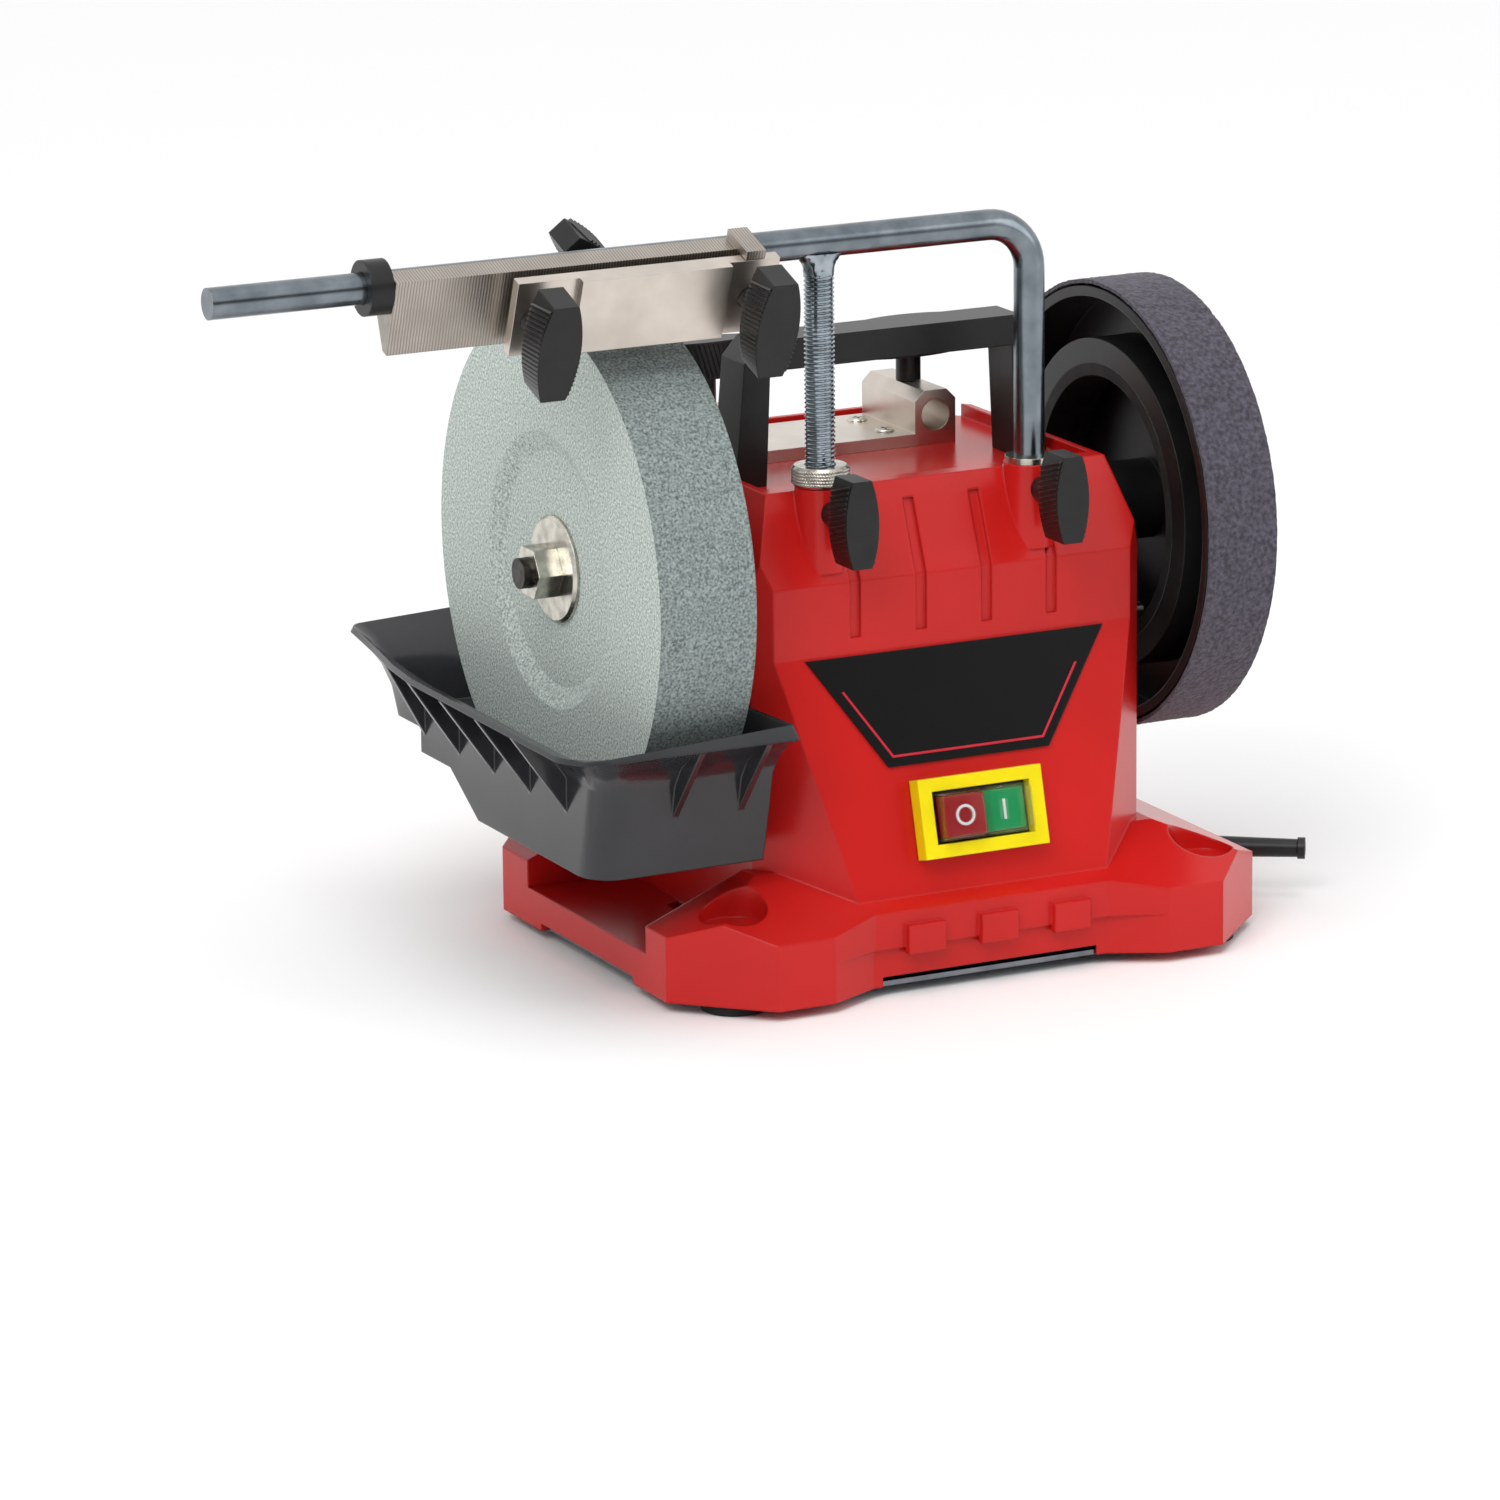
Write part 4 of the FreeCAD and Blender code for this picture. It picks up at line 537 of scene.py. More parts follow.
class SHARPENER_OT_tray(bpy.types.Operator):
    """Water tray: upright walls, wide flared rim, gussets under it and the dovetail at the tower."""
    bl_idname = "sharpener.tray"
    bl_label = "Water tray"

    def bow(self, y):
        """How far the left rim draws in at a place along the tray."""
        span = self.back - TRAY_BOW_START
        return TRAY_BOW * min(1.0, max(0.0, (y - TRAY_BOW_START) / span)) ** 2

    def flare(self):
        """Raise the open top edge into the flare, and draw its left side in towards the back."""
        sizes = settings()
        pick(lambda v: abs(v.co.z - self.fold) < NEAR, "vertices")
        bpy.ops.mesh.select_mode(type="EDGE")
        wide = self.right - self.left
        long = self.back - self.front
        risen = grown = 0.0
        for height, width in TRAY_FLARE:
            before = sizes.tray_flare * grown
            after = sizes.tray_flare * width
            rise = sizes.tray_flare_height * (height - risen)
            pull("edges", (0, 0, rise))
            bpy.ops.transform.resize(
                value=((wide + after) / (wide + before), (long + 2 * after) / (long + 2 * before), 1),
                center_override=(self.right, (self.front + self.back) / 2, 0))
            risen, grown = height, width
        for cut in TRAY_BOW_CUTS:
            everything()
            bpy.ops.mesh.bisect(plane_co=(0, cut, 0), plane_no=(0, 1, 0))
        # Each cut, and all that lies behind the last one, draws in by the bow there
        stretches = [(cut, cut - NEAR, cut + NEAR) for cut in TRAY_BOW_CUTS]
        stretches.append((self.back, TRAY_BOW_CUTS[-1] + NEAR, math.inf))
        for height, width in TRAY_FLARE:
            level = self.fold + sizes.tray_flare_height * height
            for place, start, end in stretches:
                pick(lambda v: abs(v.co.z - level) < NEAR and start < v.co.y < end
                     and v.co.x < self.left + TRAY_CORNER, "vertices")
                bpy.ops.transform.translate(value=(self.bow(place) * width, 0, 0))

    def gusset(self, wall, out, along, foot, share):
        """A triangular plate under the flare; wall is its corner at the fold."""
        sizes = settings()
        points = [wall - out * (WALL_SUNK + foot) - Vector((0, 0, GUSSET_DROP))]
        for height, width in reversed(TRAY_FLARE):
            points.append(wall + out * sizes.tray_flare * width * share * GUSSET_WIDE
                          + Vector((0, 0, sizes.tray_flare_height * height * GUSSET_TALL)))
        points.append(wall - out * WALL_SUNK)
        shift = along * GUSSET_THICK
        return prism([point - shift / 2 for point in points], shift)

    def round_corners(self, tray):
        """Round the upright edges at the tray's two left corners."""
        points = tray.data.vertices
        for wall, radius in ((self.front, TRAY_CORNER), (self.back, TRAY_CORNER / 2)):
            pick(lambda e: all(abs(points[i].co.x - self.left) < NEAR for i in e.vertices)
                 and any(abs(points[i].co.y - wall) < NEAR for i in e.vertices)
                 and abs(points[e.vertices[0]].co.y - points[e.vertices[1]].co.y) < TRAY_CORNER_RUN, "edges")
            bpy.ops.mesh.bevel(offset=radius, segments=TRAY_CORNER_STEPS, affect="EDGES")

    def execute(self, context):
        sizes = settings()
        low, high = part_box("water_tray")
        self.right = high.x - TAIL_DEPTH
        self.left = low.x + sizes.tray_flare - TRAY_LEFT_OUT
        self.fold = high.z - sizes.tray_flare_height
        side = [Vector((self.right, low.y + y * MM, low.z + z * MM)) for y, z in TRAY_SIDE]
        self.front, self.back = side[0].y, side[-1].y
        tray = prism(side, Vector((self.left - self.right, 0, 0)))
        edit()
        pick(lambda f: f.normal.z > FACING and abs(f.center.z - self.fold) < NEAR)
        bpy.ops.mesh.delete(type="ONLY_FACE")
        self.round_corners(tray)
        self.flare()
        close_shell()
        finish_with(tray, "SOLIDIFY", thickness=sizes.tray_wall, offset=-1.0, use_even_offset=True)
        plates = []
        ahead, aside = Vector((0, 1, 0)), Vector((1, 0, 0))
        for y in SIDE_GUSSETS:
            share = 1 - self.bow(y) / sizes.tray_flare
            plates.append(self.gusset(Vector((self.left, y, self.fold)), -aside, ahead, 0, share))
        draft = (side[1].y - side[0].y) * GUSSET_DROP / (self.fold - low.z)
        for x in FRONT_GUSSETS:
            plates.append(self.gusset(Vector((x, self.front, self.fold)), -ahead, aside, draft, 1))
        root = self.right - WALL_SUNK
        tail = [(root, TAIL_NARROW), (high.x, TAIL_WIDE), (high.x, -TAIL_WIDE), (root, -TAIL_NARROW)]
        corners = [Vector((x, y, TAIL_LOW)) for x, y in tail]
        plates.append(prism(corners, Vector((0, 0, TAIL_HIGH - TAIL_LOW))))
        whole = joined([tray, *plates])
        settle(whole, "water_tray_moulded", "tray", "tray", ["water_tray"])
        return {"FINISHED"}


# Lift rod: radius of its crests, thickness of the bar over it, and the plain length under the bar
ROD_RADIUS = 6 * MM
BAR_THICK = 12 * MM
ROD_PLAIN = 5 * MM
ROD_SIDES = 28
THREAD_STEPS = 20
# Share of the thread's depth at which the core's surface lies
CORE_SHARE = 0.6
# Weld bead: share of the rod's radius, growth along the bar at each step, reach into the bar, roughness
BEAD_SHARE = 0.97
BEAD_GROWTH = (1.06, 1.12, 1.22, 1.34)
BEAD_SUNK = 2 * MM
BEAD_ROUGH = 0.3 * MM
BEAD_SEED = 3


class SHARPENER_OT_lift_thread(bpy.types.Operator):
    """Cut the thread of the lift rod, with the weld bead under the bar."""
    bl_idname = "sharpener.lift_thread"
    bl_label = "Lift thread"

    def thread(self, foot, turns):
        """The closed ribbon of the thread, from its foot upwards."""
        depth = settings().thread_depth
        pitch = settings().thread_pitch
        fresh()
        bpy.ops.mesh.primitive_plane_add(size=MM, location=foot)
        made = bpy.context.object
        edit("SELECT", "VERT")
        bpy.ops.mesh.merge(type="CENTER")
        bpy.ops.transform.translate(value=(ROD_RADIUS - depth, 0, 0))
        for across in (depth, -depth):
            pull("vertices", (across, 0, pitch / 2))
        leave()
        finish_with(made, "SCREW", axis="Z", steps=THREAD_STEPS, render_steps=THREAD_STEPS, iterations=turns,
                    screw_offset=pitch, use_merge_vertices=True, merge_threshold=NEAR)
        edit("SELECT", "EDGE")
        bpy.ops.mesh.fill_holes(sides=0)
        close_shell()
        return made

    def round_bar(self, radius, height, place):
        """A cylinder about a place."""
        fresh()
        bpy.ops.mesh.primitive_cylinder_add(vertices=ROD_SIDES, radius=radius, depth=height, location=place)
        return bpy.context.object

    def execute(self, context):
        low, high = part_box("threaded_rod")
        centre = (low + high) / 2
        bar_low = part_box("support_bar")[1].z - BAR_THICK
        depth = settings().thread_depth
        pitch = settings().thread_pitch
        turns = int((bar_low - ROD_PLAIN - low.z) / pitch) - 1
        top = low.z + (turns + 1) * pitch
        rod = self.thread((centre.x, centre.y, low.z), turns)
        core = self.round_bar(ROD_RADIUS - depth * CORE_SHARE, bar_low - low.z,
                              (centre.x, centre.y, (bar_low + low.z) / 2))
        bead = self.round_bar(ROD_RADIUS * BEAD_SHARE, pitch, (centre.x, centre.y, top - pitch / 2))
        edit()
        step = (bar_low + BEAD_SUNK - top) / len(BEAD_GROWTH)
        for across in BEAD_GROWTH:
            pick(lambda f: f.normal.z > FACING)
            pull("region", (0, 0, step))
            bpy.ops.transform.resize(value=(across, 1, 1), center_override=centre)
        everything()
        bpy.ops.mesh.subdivide(number_cuts=1)
        bpy.ops.transform.vertex_random(offset=BEAD_ROUGH, seed=BEAD_SEED)
        whole = joined([rod, core, bead])
        edit("SELECT")
        close_shell()
        # The thread takes the zinc plating brightened as painted highlight
        settle(whole, "lift_thread", "thread", "support", ["threaded_rod"])
        return {"FINISHED"}


NUT_CHAMFER = 0.9 * MM
NUT_CHAMFER_SHARE = 0.93
NUT_BORE = 6.1 * MM
NUT_BORE_EDGE = 0.3 * MM
NUT_RINGS = 5


class SHARPENER_OT_lift_nut(bpy.types.Operator):
    """Knurl the lift nut."""
    bl_idname = "sharpener.lift_nut"
    bl_label = "Lift nut"

    def execute(self, context):
        low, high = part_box("height_nut")
        centre = (low + high) / 2
        radius = (high.x - low.x) / 2 - settings().knurl_height
        count = settings().knurl_count
        tall = high.z - low.z - 2 * NUT_CHAMFER
        fresh()
        bpy.ops.mesh.primitive_circle_add(vertices=count, radius=radius,
                                          location=(centre.x, centre.y, low.z + NUT_CHAMFER))
        nut = context.object
        edit("SELECT", "EDGE")
        for _ in range(NUT_RINGS):
            pull("edges", (0, 0, tall / NUT_RINGS))
            bpy.ops.transform.rotate(value=math.pi / count, orient_axis="Z", center_override=centre)
        bpy.ops.mesh.select_mode(type="FACE")
        everything()
        bpy.ops.mesh.normals_make_consistent(inside=False)
        bpy.ops.mesh.poke(offset=settings().knurl_height)
        bore_share = NUT_BORE / (radius * NUT_CHAMFER_SHARE)
        for height, way in ((tall, 1), (0.0, -1)):
            pick(lambda v: abs(v.co.z - height) < 2 * NEAR and v.co.xy.length < radius + 5 * NEAR, "vertices")
            bpy.ops.mesh.select_mode(type="EDGE")
            for shrink, rise in ((NUT_CHAMFER_SHARE, NUT_CHAMFER), (bore_share, 0.0)):
                pull("edges", (0, 0, way * rise))
                bpy.ops.transform.resize(value=(shrink, shrink, 1), center_override=(centre.x, centre.y, 0))
        pick(lambda v: v.co.xy.length < NUT_BORE + NUT_BORE_EDGE, "vertices")
        bpy.ops.mesh.select_mode(type="EDGE")
        bpy.ops.mesh.bridge_edge_loops()
        close_shell()
        settle(nut, "lift_nut_knurled", "steel", "lift_nut", ["height_nut"])
        return {"FINISHED"}


# Wing knobs: node, joint, and length, middle width and end width of the grip in millimetres
SMALL_GRIP = (34, 14, 8)
LARGE_GRIP = (40, 17, 10)
WING_KNOBS = (
    ("left_lock_knob", "left_lock_turn", SMALL_GRIP),
    ("right_lock_knob", "right_lock_turn", SMALL_GRIP),
    ("left_sleeve_knob", "left_sleeve_turn", SMALL_GRIP),
    ("right_sleeve_knob", "right_sleeve_turn", SMALL_GRIP),
    ("jig_lock_knob", "jig_lock_turn", SMALL_GRIP),
    ("left_clamp_knob", "left_clamp_knob_turn", LARGE_GRIP),
    ("right_clamp_knob", "right_clamp_knob_turn", LARGE_GRIP),
)
GRIP_DEPTH = 15 * MM
# Ribs: distance from the grip's faces, rise towards the front, root in the grip, half width in pitches
RIB_INSET = 0.7 * MM
RIB_SLANT = 4 * MM
RIB_ROOT = 0.3 * MM
RIB_HALF = 0.36


class SHARPENER_OT_knob_grips(bpy.types.Operator):
    """Slanted ribs on the two narrow sides of every wing knob."""
    bl_idname = "sharpener.knob_grips"
    bl_label = "Knob grips"

    def ribs(self, length, width, end):
        """Ribs of one grip, with its face on XZ, its width along X and its length along Z."""
        sag = (width - end) / 2
        radius = (length * length / 4 + sag * sag) / (2 * sag)
        pitch = settings().grip_pitch
        reach = length / 2 - RIB_SLANT / 2 - pitch
        sweep = 2 * math.asin(reach / radius)
        count = int(radius * sweep / pitch)
        root = width / 2 - RIB_ROOT
        crest = width / 2 + settings().grip_height
        half = pitch * RIB_HALF
        outline = [Vector((x, -RIB_INSET, z)) for x, z in ((root, -half), (crest, 0), (root, half))]
        rib = prism(outline, Vector((0, 2 * RIB_INSET - GRIP_DEPTH, -RIB_SLANT)))
        hinge = Matrix.Translation((width / 2 - radius, 0, RIB_SLANT / 2))
        home = Matrix.Translation((radius - width / 2, 0, 0))
        places = []
        for side in (0, math.pi):
            for number in range(count + 1):
                turn = sweep * (number / count - 0.5)
                places.append(Matrix.Rotation(side, 4, "Y") @ hinge @ Matrix.Rotation(turn, 4, "Y") @ home)
        return repeated(rib, places)

    def place_of(self, node, axis):
        """Middle of a knob's outer face, with Y along its screw and Z along its grip."""
        across = axis.orthogonal().normalized()
        upright = axis.cross(across)
        points = {tuple(round(c, 5) for c in v.co) for v in NODES[node].data.vertices}
        flat = [(Vector(p).dot(across), Vector(p).dot(upright)) for p in points]
        top = max(Vector(p).dot(axis) for p in points)
        mid = [(min(f[i] for f in flat) + max(f[i] for f in flat)) / 2 for i in (0, 1)]
        xx = sum((f[0] - mid[0]) ** 2 for f in flat)
        yy = sum((f[1] - mid[1]) ** 2 for f in flat)
        xy = sum((f[0] - mid[0]) * (f[1] - mid[1]) for f in flat)
        turn = math.atan2(2 * xy, xx - yy) / 2
        long = across * math.cos(turn) + upright * math.sin(turn)
        centre = across * mid[0] + upright * mid[1] + axis * top
        return Matrix.Translation(centre) @ Matrix((axis.cross(long), axis, long)).transposed().to_4x4()

    def execute(self, context):
        joints = {joint["name"]: joint for joint in frame["joints"]}
        patterns = {}
        for node, joint, grip in WING_KNOBS:
            if grip not in patterns:
                patterns[grip] = self.ribs(*(part * MM for part in grip))
            axis = Vector(joints[joint]["axis"]).normalized()
            grips = copied(patterns[grip], self.place_of(node, axis))
            # The ribs take the black nylon lightened as painted highlight
            settle(grips, f"{node}_ribs", "grip", joints[joint]["child"])
        for pattern in patterns.values():
            bpy.data.objects.remove(pattern)
        return {"FINISHED"}


BAND_COLUMNS = 380
BAND_ROWS = 20
BAND_BODY = 1.5 * MM
NAP_SIZE = 2.2 * MM
NAP_OCTAVES = 3
# Joint of the band's two ends: place round the wheel, slant across the band, half width and depth
SEAM_TURN = math.radians(112)
SEAM_SLANT = 0.35
SEAM_HALF = 0.9 * MM
SEAM_DEPTH = 0.5 * MM


class SHARPENER_OT_honing_band(bpy.types.Operator):
    """Leather band of the honing wheel, with a rough nap and the slanted joint of its two ends."""
    bl_idname = "sharpener.honing_band"
    bl_label = "Honing band"

    def execute(self, context):
        low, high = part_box("honing_band")
        centre = (low + high) / 2
        radius = (high.z - low.z) / 2
        row = (high.x - low.x) / BAND_ROWS
        fresh()
        bpy.ops.mesh.primitive_circle_add(vertices=BAND_COLUMNS, radius=radius, rotation=(0, math.pi / 2, 0),
                                          location=(low.x, centre.y, centre.z))
        band = context.object
        apply_place()
        edit("SELECT", "EDGE")
        for _ in range(BAND_ROWS):
            pull("edges", (row, 0, 0))
        close_shell()
        nap = bpy.data.textures.new("leather_nap", "CLOUDS")
        nap.noise_scale = NAP_SIZE
        nap.noise_depth = NAP_OCTAVES
        depth = settings().leather_nap
        finish_with(band, "DISPLACE", texture=nap, texture_coords="LOCAL", strength=depth, mid_level=1.0)
        bpy.data.textures.remove(nap)
        edit("DESELECT", "VERT")

        def at_seam(vertex):
            turn = math.atan2(vertex.co.z - centre.z, vertex.co.y - centre.y)
            return abs(radius * (turn - SEAM_TURN) - SEAM_SLANT * (vertex.co.x - centre.x)) < SEAM_HALF

        pick(at_seam, "vertices")
        inward = -Vector((0, math.cos(SEAM_TURN), math.sin(SEAM_TURN)))
        bpy.ops.transform.translate(value=inward * SEAM_DEPTH)
        close_shell()
        finish_with(band, "SOLIDIFY", thickness=BAND_BODY, offset=-1.0)
        settle(band, "honing_leather", "leather", "spindle", ["honing_band"])
        return {"FINISHED"}


# Pan heads: dome as a share of the height, and the slot's length, width and cutter height as shares
HEAD_SIDES = 28
HEAD_DOME = 0.6
HEAD_DOME_STEPS = 4
SLOT_LONG = 1.1
SLOT_WIDE = 0.24
SLOT_DEEP = 0.9
# Radius and height of the heads on the sleeve block and in the honing wheel
BLOCK_HEAD = (4.2 * MM, 2.5 * MM)
HUB_HEAD = (4.6 * MM, 2.6 * MM)
# Screws in the honing wheel: depth of its web, radius of their circle, and places on it in degrees
HUB_WEB_DEPTH = 8 * MM
HUB_SCREW_RING = 43 * MM
HUB_SCREW_PLACES = (106, 226, 346)


def pan_head(radius, height):
    """A cross-slotted pan head that stands on the origin."""
    fresh()
    bpy.ops.mesh.primitive_cylinder_add(vertices=HEAD_SIDES, radius=radius, depth=height,
                                        location=(0, 0, height / 2))
    head = bpy.context.object
    edit()
    pick(lambda f: f.normal.z > FACING)
    bpy.ops.mesh.bevel(offset=height * HEAD_DOME, segments=HEAD_DOME_STEPS, affect="EDGES")
    leave()
    for wide, deep in ((SLOT_LONG, SLOT_WIDE), (SLOT_WIDE, SLOT_LONG)):
        cutter = block((radius * wide, radius * deep, height * SLOT_DEEP))
        cutter.location.z = height
        finish_with(head, "BOOLEAN", operation="DIFFERENCE", object=cutter)
        bpy.data.objects.remove(cutter)
    return head


class SHARPENER_OT_screws(bpy.types.Operator):
    """Pan heads on the sleeve block and in the honing wheel's web."""
    bl_idname = "sharpener.screws"
    bl_label = "Screws"

    def execute(self, context):
        low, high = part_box("sleeve_block_screws")
        radius, height = BLOCK_HEAD
        places = [Matrix.Translation((x, y, high.z - height)) for x in (low.x + radius, high.x - radius)
                  for y in (low.y + radius, high.y - radius)]
        heads = repeated(pan_head(radius, height), places)
        settle(heads, "sleeve_block_heads", "steel", "frame", ["sleeve_block_screws"])
        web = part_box("honing_hub")[1].x - HUB_WEB_DEPTH
        centre = middle("main_shaft")
        places = []
        for degrees in HUB_SCREW_PLACES:
            angle = math.radians(degrees)
            back, up = HUB_SCREW_RING * math.cos(angle), HUB_SCREW_RING * math.sin(angle)
            spot = (web, centre.y + back, centre.z + up)
            places.append(Matrix.Translation(spot) @ Matrix.Rotation(-math.pi / 2, 4, "Y"))
        heads = repeated(pan_head(*HUB_HEAD), places)
        settle(heads, "hub_screw_heads", "steel", "spindle")
        return {"FINISHED"}


def on_panel(place):
    """Where a piece that was made flat on XY stands on the leaning front, its Z pointing out."""
    turn = Matrix((Vector((1, 0, 0)), PANEL_UP, PANEL_OUT)).transposed().to_4x4()
    return Matrix.Translation(place) @ turn


# Front of the switch's frame, from the frame's middle
FRAME_FRONT = 3.5 * MM
# Half of the soft cover: size, share to which its front is drawn in, rounding, wall, place
COVER_SIZE = (20.6 * MM, 19.6 * MM, 6.4 * MM)
COVER_DRAWN = (0.88, 0.86, 1)
COVER_EDGE = 1.6 * MM
COVER_EDGE_STEPS = 3
COVER_WALL = 0.7 * MM
COVER_APART = 10.2 * MM
COVER_PROUD = 2.8 * MM
# Marks on the buttons
RING_RADIUS = 4.1 * MM
RING_SIDES = 40
RING_HOLE = 0.74
RING_THICK = 0.4 * MM
STROKE_SIZE = (1.2 * MM, 8 * MM, 0.8 * MM)
STROKE_EDGE = 0.25 * MM
STROKE_EDGE_STEPS = 2
# Faces of the buttons, from the front of the frame
STOP_FACE = 3 * MM
START_FACE = -1 * MM


class SHARPENER_OT_switch(bpy.types.Operator):
    """Clear two-chamber cover over the buttons, and the marks on the buttons."""
    bl_idname = "sharpener.switch"
    bl_label = "Switch"

    def chamber(self):
        """One half of the soft cover: a box with drawn-in rounded edges, open behind."""
        made = block(COVER_SIZE)
        edit()
        pick(lambda f: f.normal.z > FACING)
        bpy.ops.transform.resize(value=COVER_DRAWN)
        leave()
        edit("SELECT", "EDGE")
        bpy.ops.mesh.bevel(offset=COVER_EDGE, segments=COVER_EDGE_STEPS, affect="EDGES")
        pick(lambda f: f.normal.z < -FACING)
        bpy.ops.mesh.delete(type="FACE")
        leave()
        finish_with(made, "SOLIDIFY", thickness=COVER_WALL)
        return made

    def stop_ring(self):
        """A flat ring."""
        fresh()
        bpy.ops.mesh.primitive_circle_add(vertices=RING_SIDES, radius=RING_RADIUS)
        edit("SELECT", "EDGE")
        pull("edges", (0, 0, 0))
        bpy.ops.transform.resize(value=(RING_HOLE, RING_HOLE, 1))
        everything()
        pull("region", (0, 0, RING_THICK))
        close_shell()
        return bpy.context.object

    def start_stroke(self):
        """A flat stroke with rounded edges."""
        made = block(STROKE_SIZE)
        edit("SELECT", "EDGE")
        bpy.ops.mesh.bevel(offset=STROKE_EDGE, segments=STROKE_EDGE_STEPS, affect="EDGES")
        leave()
        return made

    def execute(self, context):
        front = middle("switch_frame") + PANEL_OUT * FRAME_FRONT
        places = [on_panel(front + Vector((side * COVER_APART, 0, 0)) + PANEL_OUT * COVER_PROUD)
                  for side in (-1, 1)]
        cover = repeated(self.chamber(), places)
        settle(cover, "switch_soft_cover", "clear", "frame", ["switch_cover"])
        for button, body, slot, proud, mark in (
            ("stop_button", "stop", "red_button", STOP_FACE, self.stop_ring()),
            ("start_button", "start", "green_button", START_FACE, self.start_stroke()),
        ):
            face = front + PANEL_OUT * proud
            face.x = middle(button).x
            mark.matrix_world = on_panel(face)
            settle(mark, f"{body}_mark", "mark", body)
        return {"FINISHED"}


# Badge: half width of its foot; the line's top as a share of the badge's height, thickness and place
BADGE_FOOT_HALF = 35 * MM
LINE_TOP = 0.2
LINE_THICK = 0.15 * MM
LINE_PROUD = 0.42 * MM


class SHARPENER_OT_badge_line(bpy.types.Operator):
    """Thin red line inside the edge of the bare badge."""
    bl_idname = "sharpener.badge_line"
    bl_label = "Badge line"

    def execute(self, context):
        low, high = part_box("front_badge")
        tall = (high.z - low.z) / math.cos(PANEL_LEAN)
        top_half = (high.x - low.x) / 2
        fresh()
        bpy.ops.mesh.primitive_plane_add(size=1)
        line = context.object
        line.scale = (top_half * 2, tall, 1)
        apply_place()
        edit("DESELECT", "VERT")
        pick(lambda v: v.co.y < 0, "vertices")
        bpy.ops.transform.resize(value=(BADGE_FOOT_HALF / top_half, 1, 1))
        bpy.ops.mesh.select_mode(type="FACE")
        everything()
        bpy.ops.mesh.inset(thickness=settings().badge_margin)
        bpy.ops.mesh.select_all(action="INVERT")
        bpy.ops.mesh.delete(type="FACE")
        everything()
        bpy.ops.mesh.inset(thickness=settings().badge_line)
        bpy.ops.mesh.delete(type="FACE")
        everything()
        bpy.ops.mesh.bisect(plane_co=(0, tall * LINE_TOP, 0), plane_no=(0, 1, 0), clear_outer=True)
        everything()
        pull("region", (0, 0, LINE_THICK))
        close_shell()
        centre = (low + high) / 2
        centre.x = 0
        line.matrix_world = on_panel(centre + PANEL_OUT * LINE_PROUD)
        settle(line, "badge_red_line", "line", "frame")
        return {"FINISHED"}


AIM = Vector((0, 0, 0.15))
# Lamps: name, kind, place in metres, size or angle, power
LAMPS = (
    ("key", "AREA", (-1.7, -1.6, 2.1), 1.3, 26),
    ("fill", "AREA", (1.9, -1.6, 1.2), 1.6, 12),
    ("sky", "SUN", (-0.5, -0.6, 2.4), 0.9, 1.15),
)
WORLD_LIGHT = 0.62
# Floor and card, in metres; the floor lies just under the feet
FLOOR_SIZE = 60
FLOOR_PLACE = (0, 0, -0.0002)
CARD_SIZE = (6.0, 1.3, 1)
CARD_PLACE = (-0.9, -3.4, 0.95)


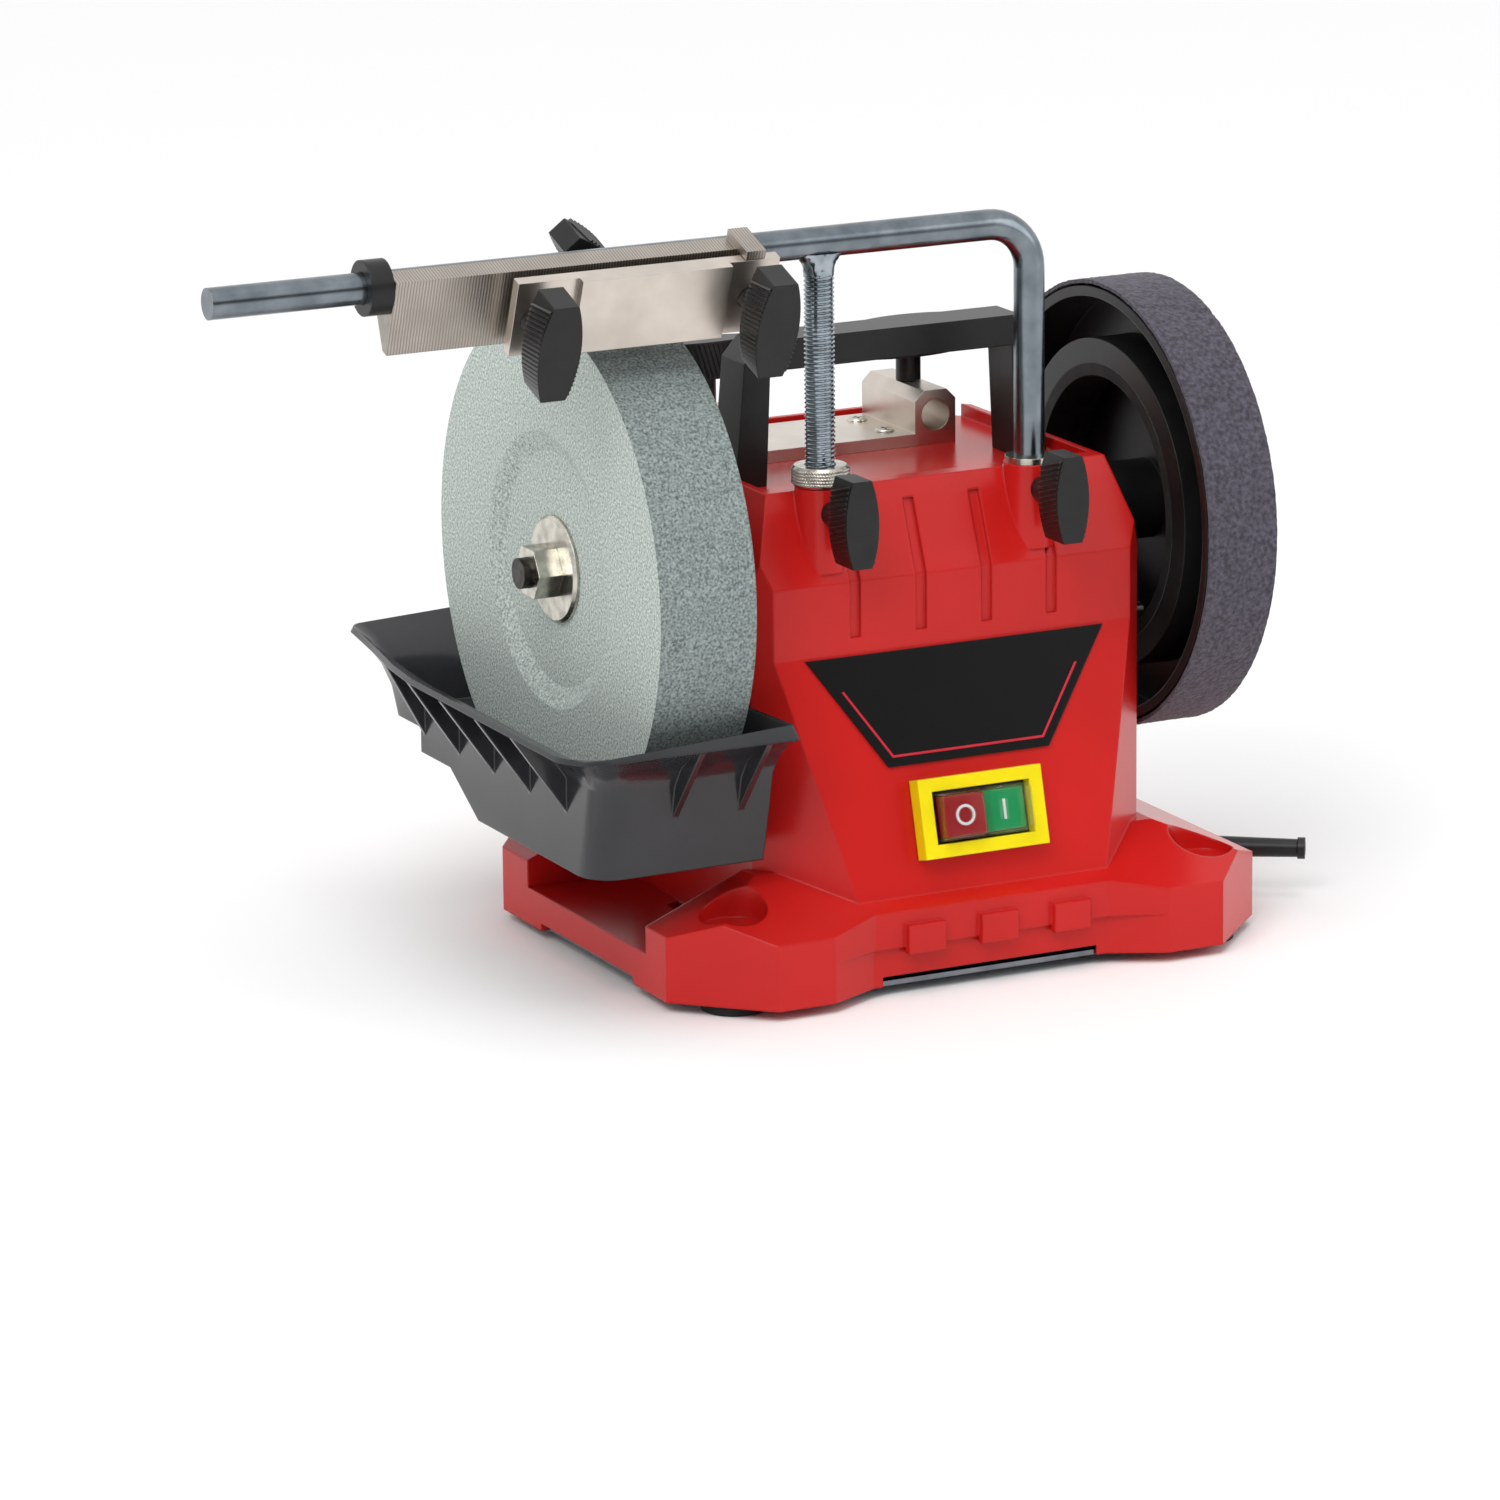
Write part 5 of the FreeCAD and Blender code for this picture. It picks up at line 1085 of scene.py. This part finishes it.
class SHARPENER_OT_stage(bpy.types.Operator):
    """Pale floor, dark card behind the camera, soft light and the camera."""
    bl_idname = "sharpener.stage"
    bl_label = "Stage"

    def surroundings(self, colours):
        """Floor and card. The card is never seen itself and gives the metal its dark lines."""
        fresh()
        bpy.ops.mesh.primitive_plane_add(size=FLOOR_SIZE, location=FLOOR_PLACE)
        floor = bpy.context.object
        floor.name = "studio_floor"
        # Painted board: plain matt white
        paint = bare_finish("painted_studio_floor", Base_Color=linear(colours.floor), Roughness=0.8)
        floor.data.materials.append(paint)
        fresh()
        bpy.ops.mesh.primitive_plane_add(size=1, location=CARD_PLACE, rotation=(math.pi / 2, 0, 0))
        card = bpy.context.object
        card.name = "studio_card"
        card.scale = CARD_SIZE
        card.visible_camera = False
        # Dark felt: dull, so that only its darkness shows
        felt = bare_finish("dark_felt_card", Base_Color=linear(colours.flag), Roughness=1.0)
        card.data.materials.append(felt)

    def light(self, scene):
        """World that is white where it is seen, and the lamps."""
        world = bpy.data.worlds.new("studio")
        world.use_nodes = True
        scene.world = world
        tree = world.node_tree
        rays = add_node(tree, "ShaderNodeLightPath")
        mirror = add_node(tree, "ShaderNodeMath", {"operation": "MAXIMUM"},
                          {0: rays.outputs["Is Glossy Ray"], 1: rays.outputs["Is Transmission Ray"]})
        seen = add_node(tree, "ShaderNodeMath", {"operation": "MAXIMUM"},
                        {0: rays.outputs["Is Camera Ray"], 1: mirror.outputs[0]})
        level = add_node(tree, "ShaderNodeMapRange", {"To Min": WORLD_LIGHT, "To Max": 1.0},
                         {"Value": seen.outputs[0]})
        back = tree.nodes["Background"]
        back.inputs["Color"].default_value = (1, 1, 1, 1)
        tree.links.new(level.outputs["Result"], back.inputs["Strength"])
        for name, kind, place, size, power in LAMPS:
            lamp = bpy.data.lights.new(name, kind)
            setattr(lamp, "size" if kind == "AREA" else "angle", size)
            lamp.energy = power
            holder = bpy.data.objects.new(name, lamp)
            holder.location = place
            holder.rotation_euler = (AIM - Vector(place)).to_track_quat("-Z", "Y").to_euler()
            scene.collection.objects.link(holder)

    def camera(self, scene):
        """Camera at the photograph's angle."""
        turn = math.radians(CAMERA_TURN)
        drop = math.radians(CAMERA_DROP)
        roll = math.radians(CAMERA_ROLL)
        ahead = Vector((-math.sin(turn) * math.cos(drop), math.cos(turn) * math.cos(drop), -math.sin(drop)))
        right = Vector((math.cos(turn), math.sin(turn), 0))
        up = right.cross(ahead)
        side = math.cos(roll) * right + math.sin(roll) * up
        top = -math.sin(roll) * right + math.cos(roll) * up
        lens = bpy.data.cameras.new("photo_camera")
        lens.sensor_width = SENSOR_MM
        lens.lens = FOCAL_PIXELS * SENSOR_MM / PHOTO_PIXELS
        made = bpy.data.objects.new("photo_camera", lens)
        turned = Matrix((side, top, -ahead)).transposed().to_4x4()
        made.matrix_world = Matrix.Translation(CAMERA_PLACE) @ turned
        scene.collection.objects.link(made)
        scene.camera = made

    def execute(self, context):
        scene = context.scene
        scene.view_settings.view_transform = "Standard"
        self.surroundings(scene.sharpener_colours)
        self.light(scene)
        self.camera(scene)
        return {"FINISHED"}


OPERATORS = (SHARPENER_OT_finishes, SHARPENER_OT_tray, SHARPENER_OT_lift_thread, SHARPENER_OT_lift_nut,
             SHARPENER_OT_knob_grips, SHARPENER_OT_honing_band, SHARPENER_OT_screws, SHARPENER_OT_switch,
             SHARPENER_OT_badge_line, SHARPENER_OT_stage)


class SHARPENER_PT_panel(bpy.types.Panel):
    """Lists the steps that dress the sharpener."""
    bl_idname = "SHARPENER_PT_panel"
    bl_label = "Sharpener"
    bl_space_type = "VIEW_3D"
    bl_region_type = "UI"
    bl_category = "Sharpener"

    def draw(self, context):
        for step in OPERATORS:
            self.layout.operator(step.bl_idname)


CLASSES = (SharpenerSizes, SharpenerColours, *OPERATORS, SHARPENER_PT_panel)


def register():
    """Make the classes and the scene's settings known."""
    for cls in CLASSES:
        bpy.utils.register_class(cls)
    bpy.types.Scene.sharpener_sizes = bpy.props.PointerProperty(type=SharpenerSizes)
    bpy.types.Scene.sharpener_colours = bpy.props.PointerProperty(type=SharpenerColours)


def unregister():
    """Take the classes and the scene's settings out again."""
    del bpy.types.Scene.sharpener_colours
    del bpy.types.Scene.sharpener_sizes
    for cls in reversed(CLASSES):
        bpy.utils.unregister_class(cls)


def main():
    """Dress the whole sharpener."""
    register()
    bpy.ops.sharpener.finishes()
    bpy.ops.sharpener.tray()
    bpy.ops.sharpener.lift_thread()
    bpy.ops.sharpener.lift_nut()
    bpy.ops.sharpener.knob_grips()
    bpy.ops.sharpener.honing_band()
    bpy.ops.sharpener.screws()
    bpy.ops.sharpener.switch()
    bpy.ops.sharpener.badge_line()
    bpy.ops.sharpener.stage()


if __name__ == "__main__":
    main()
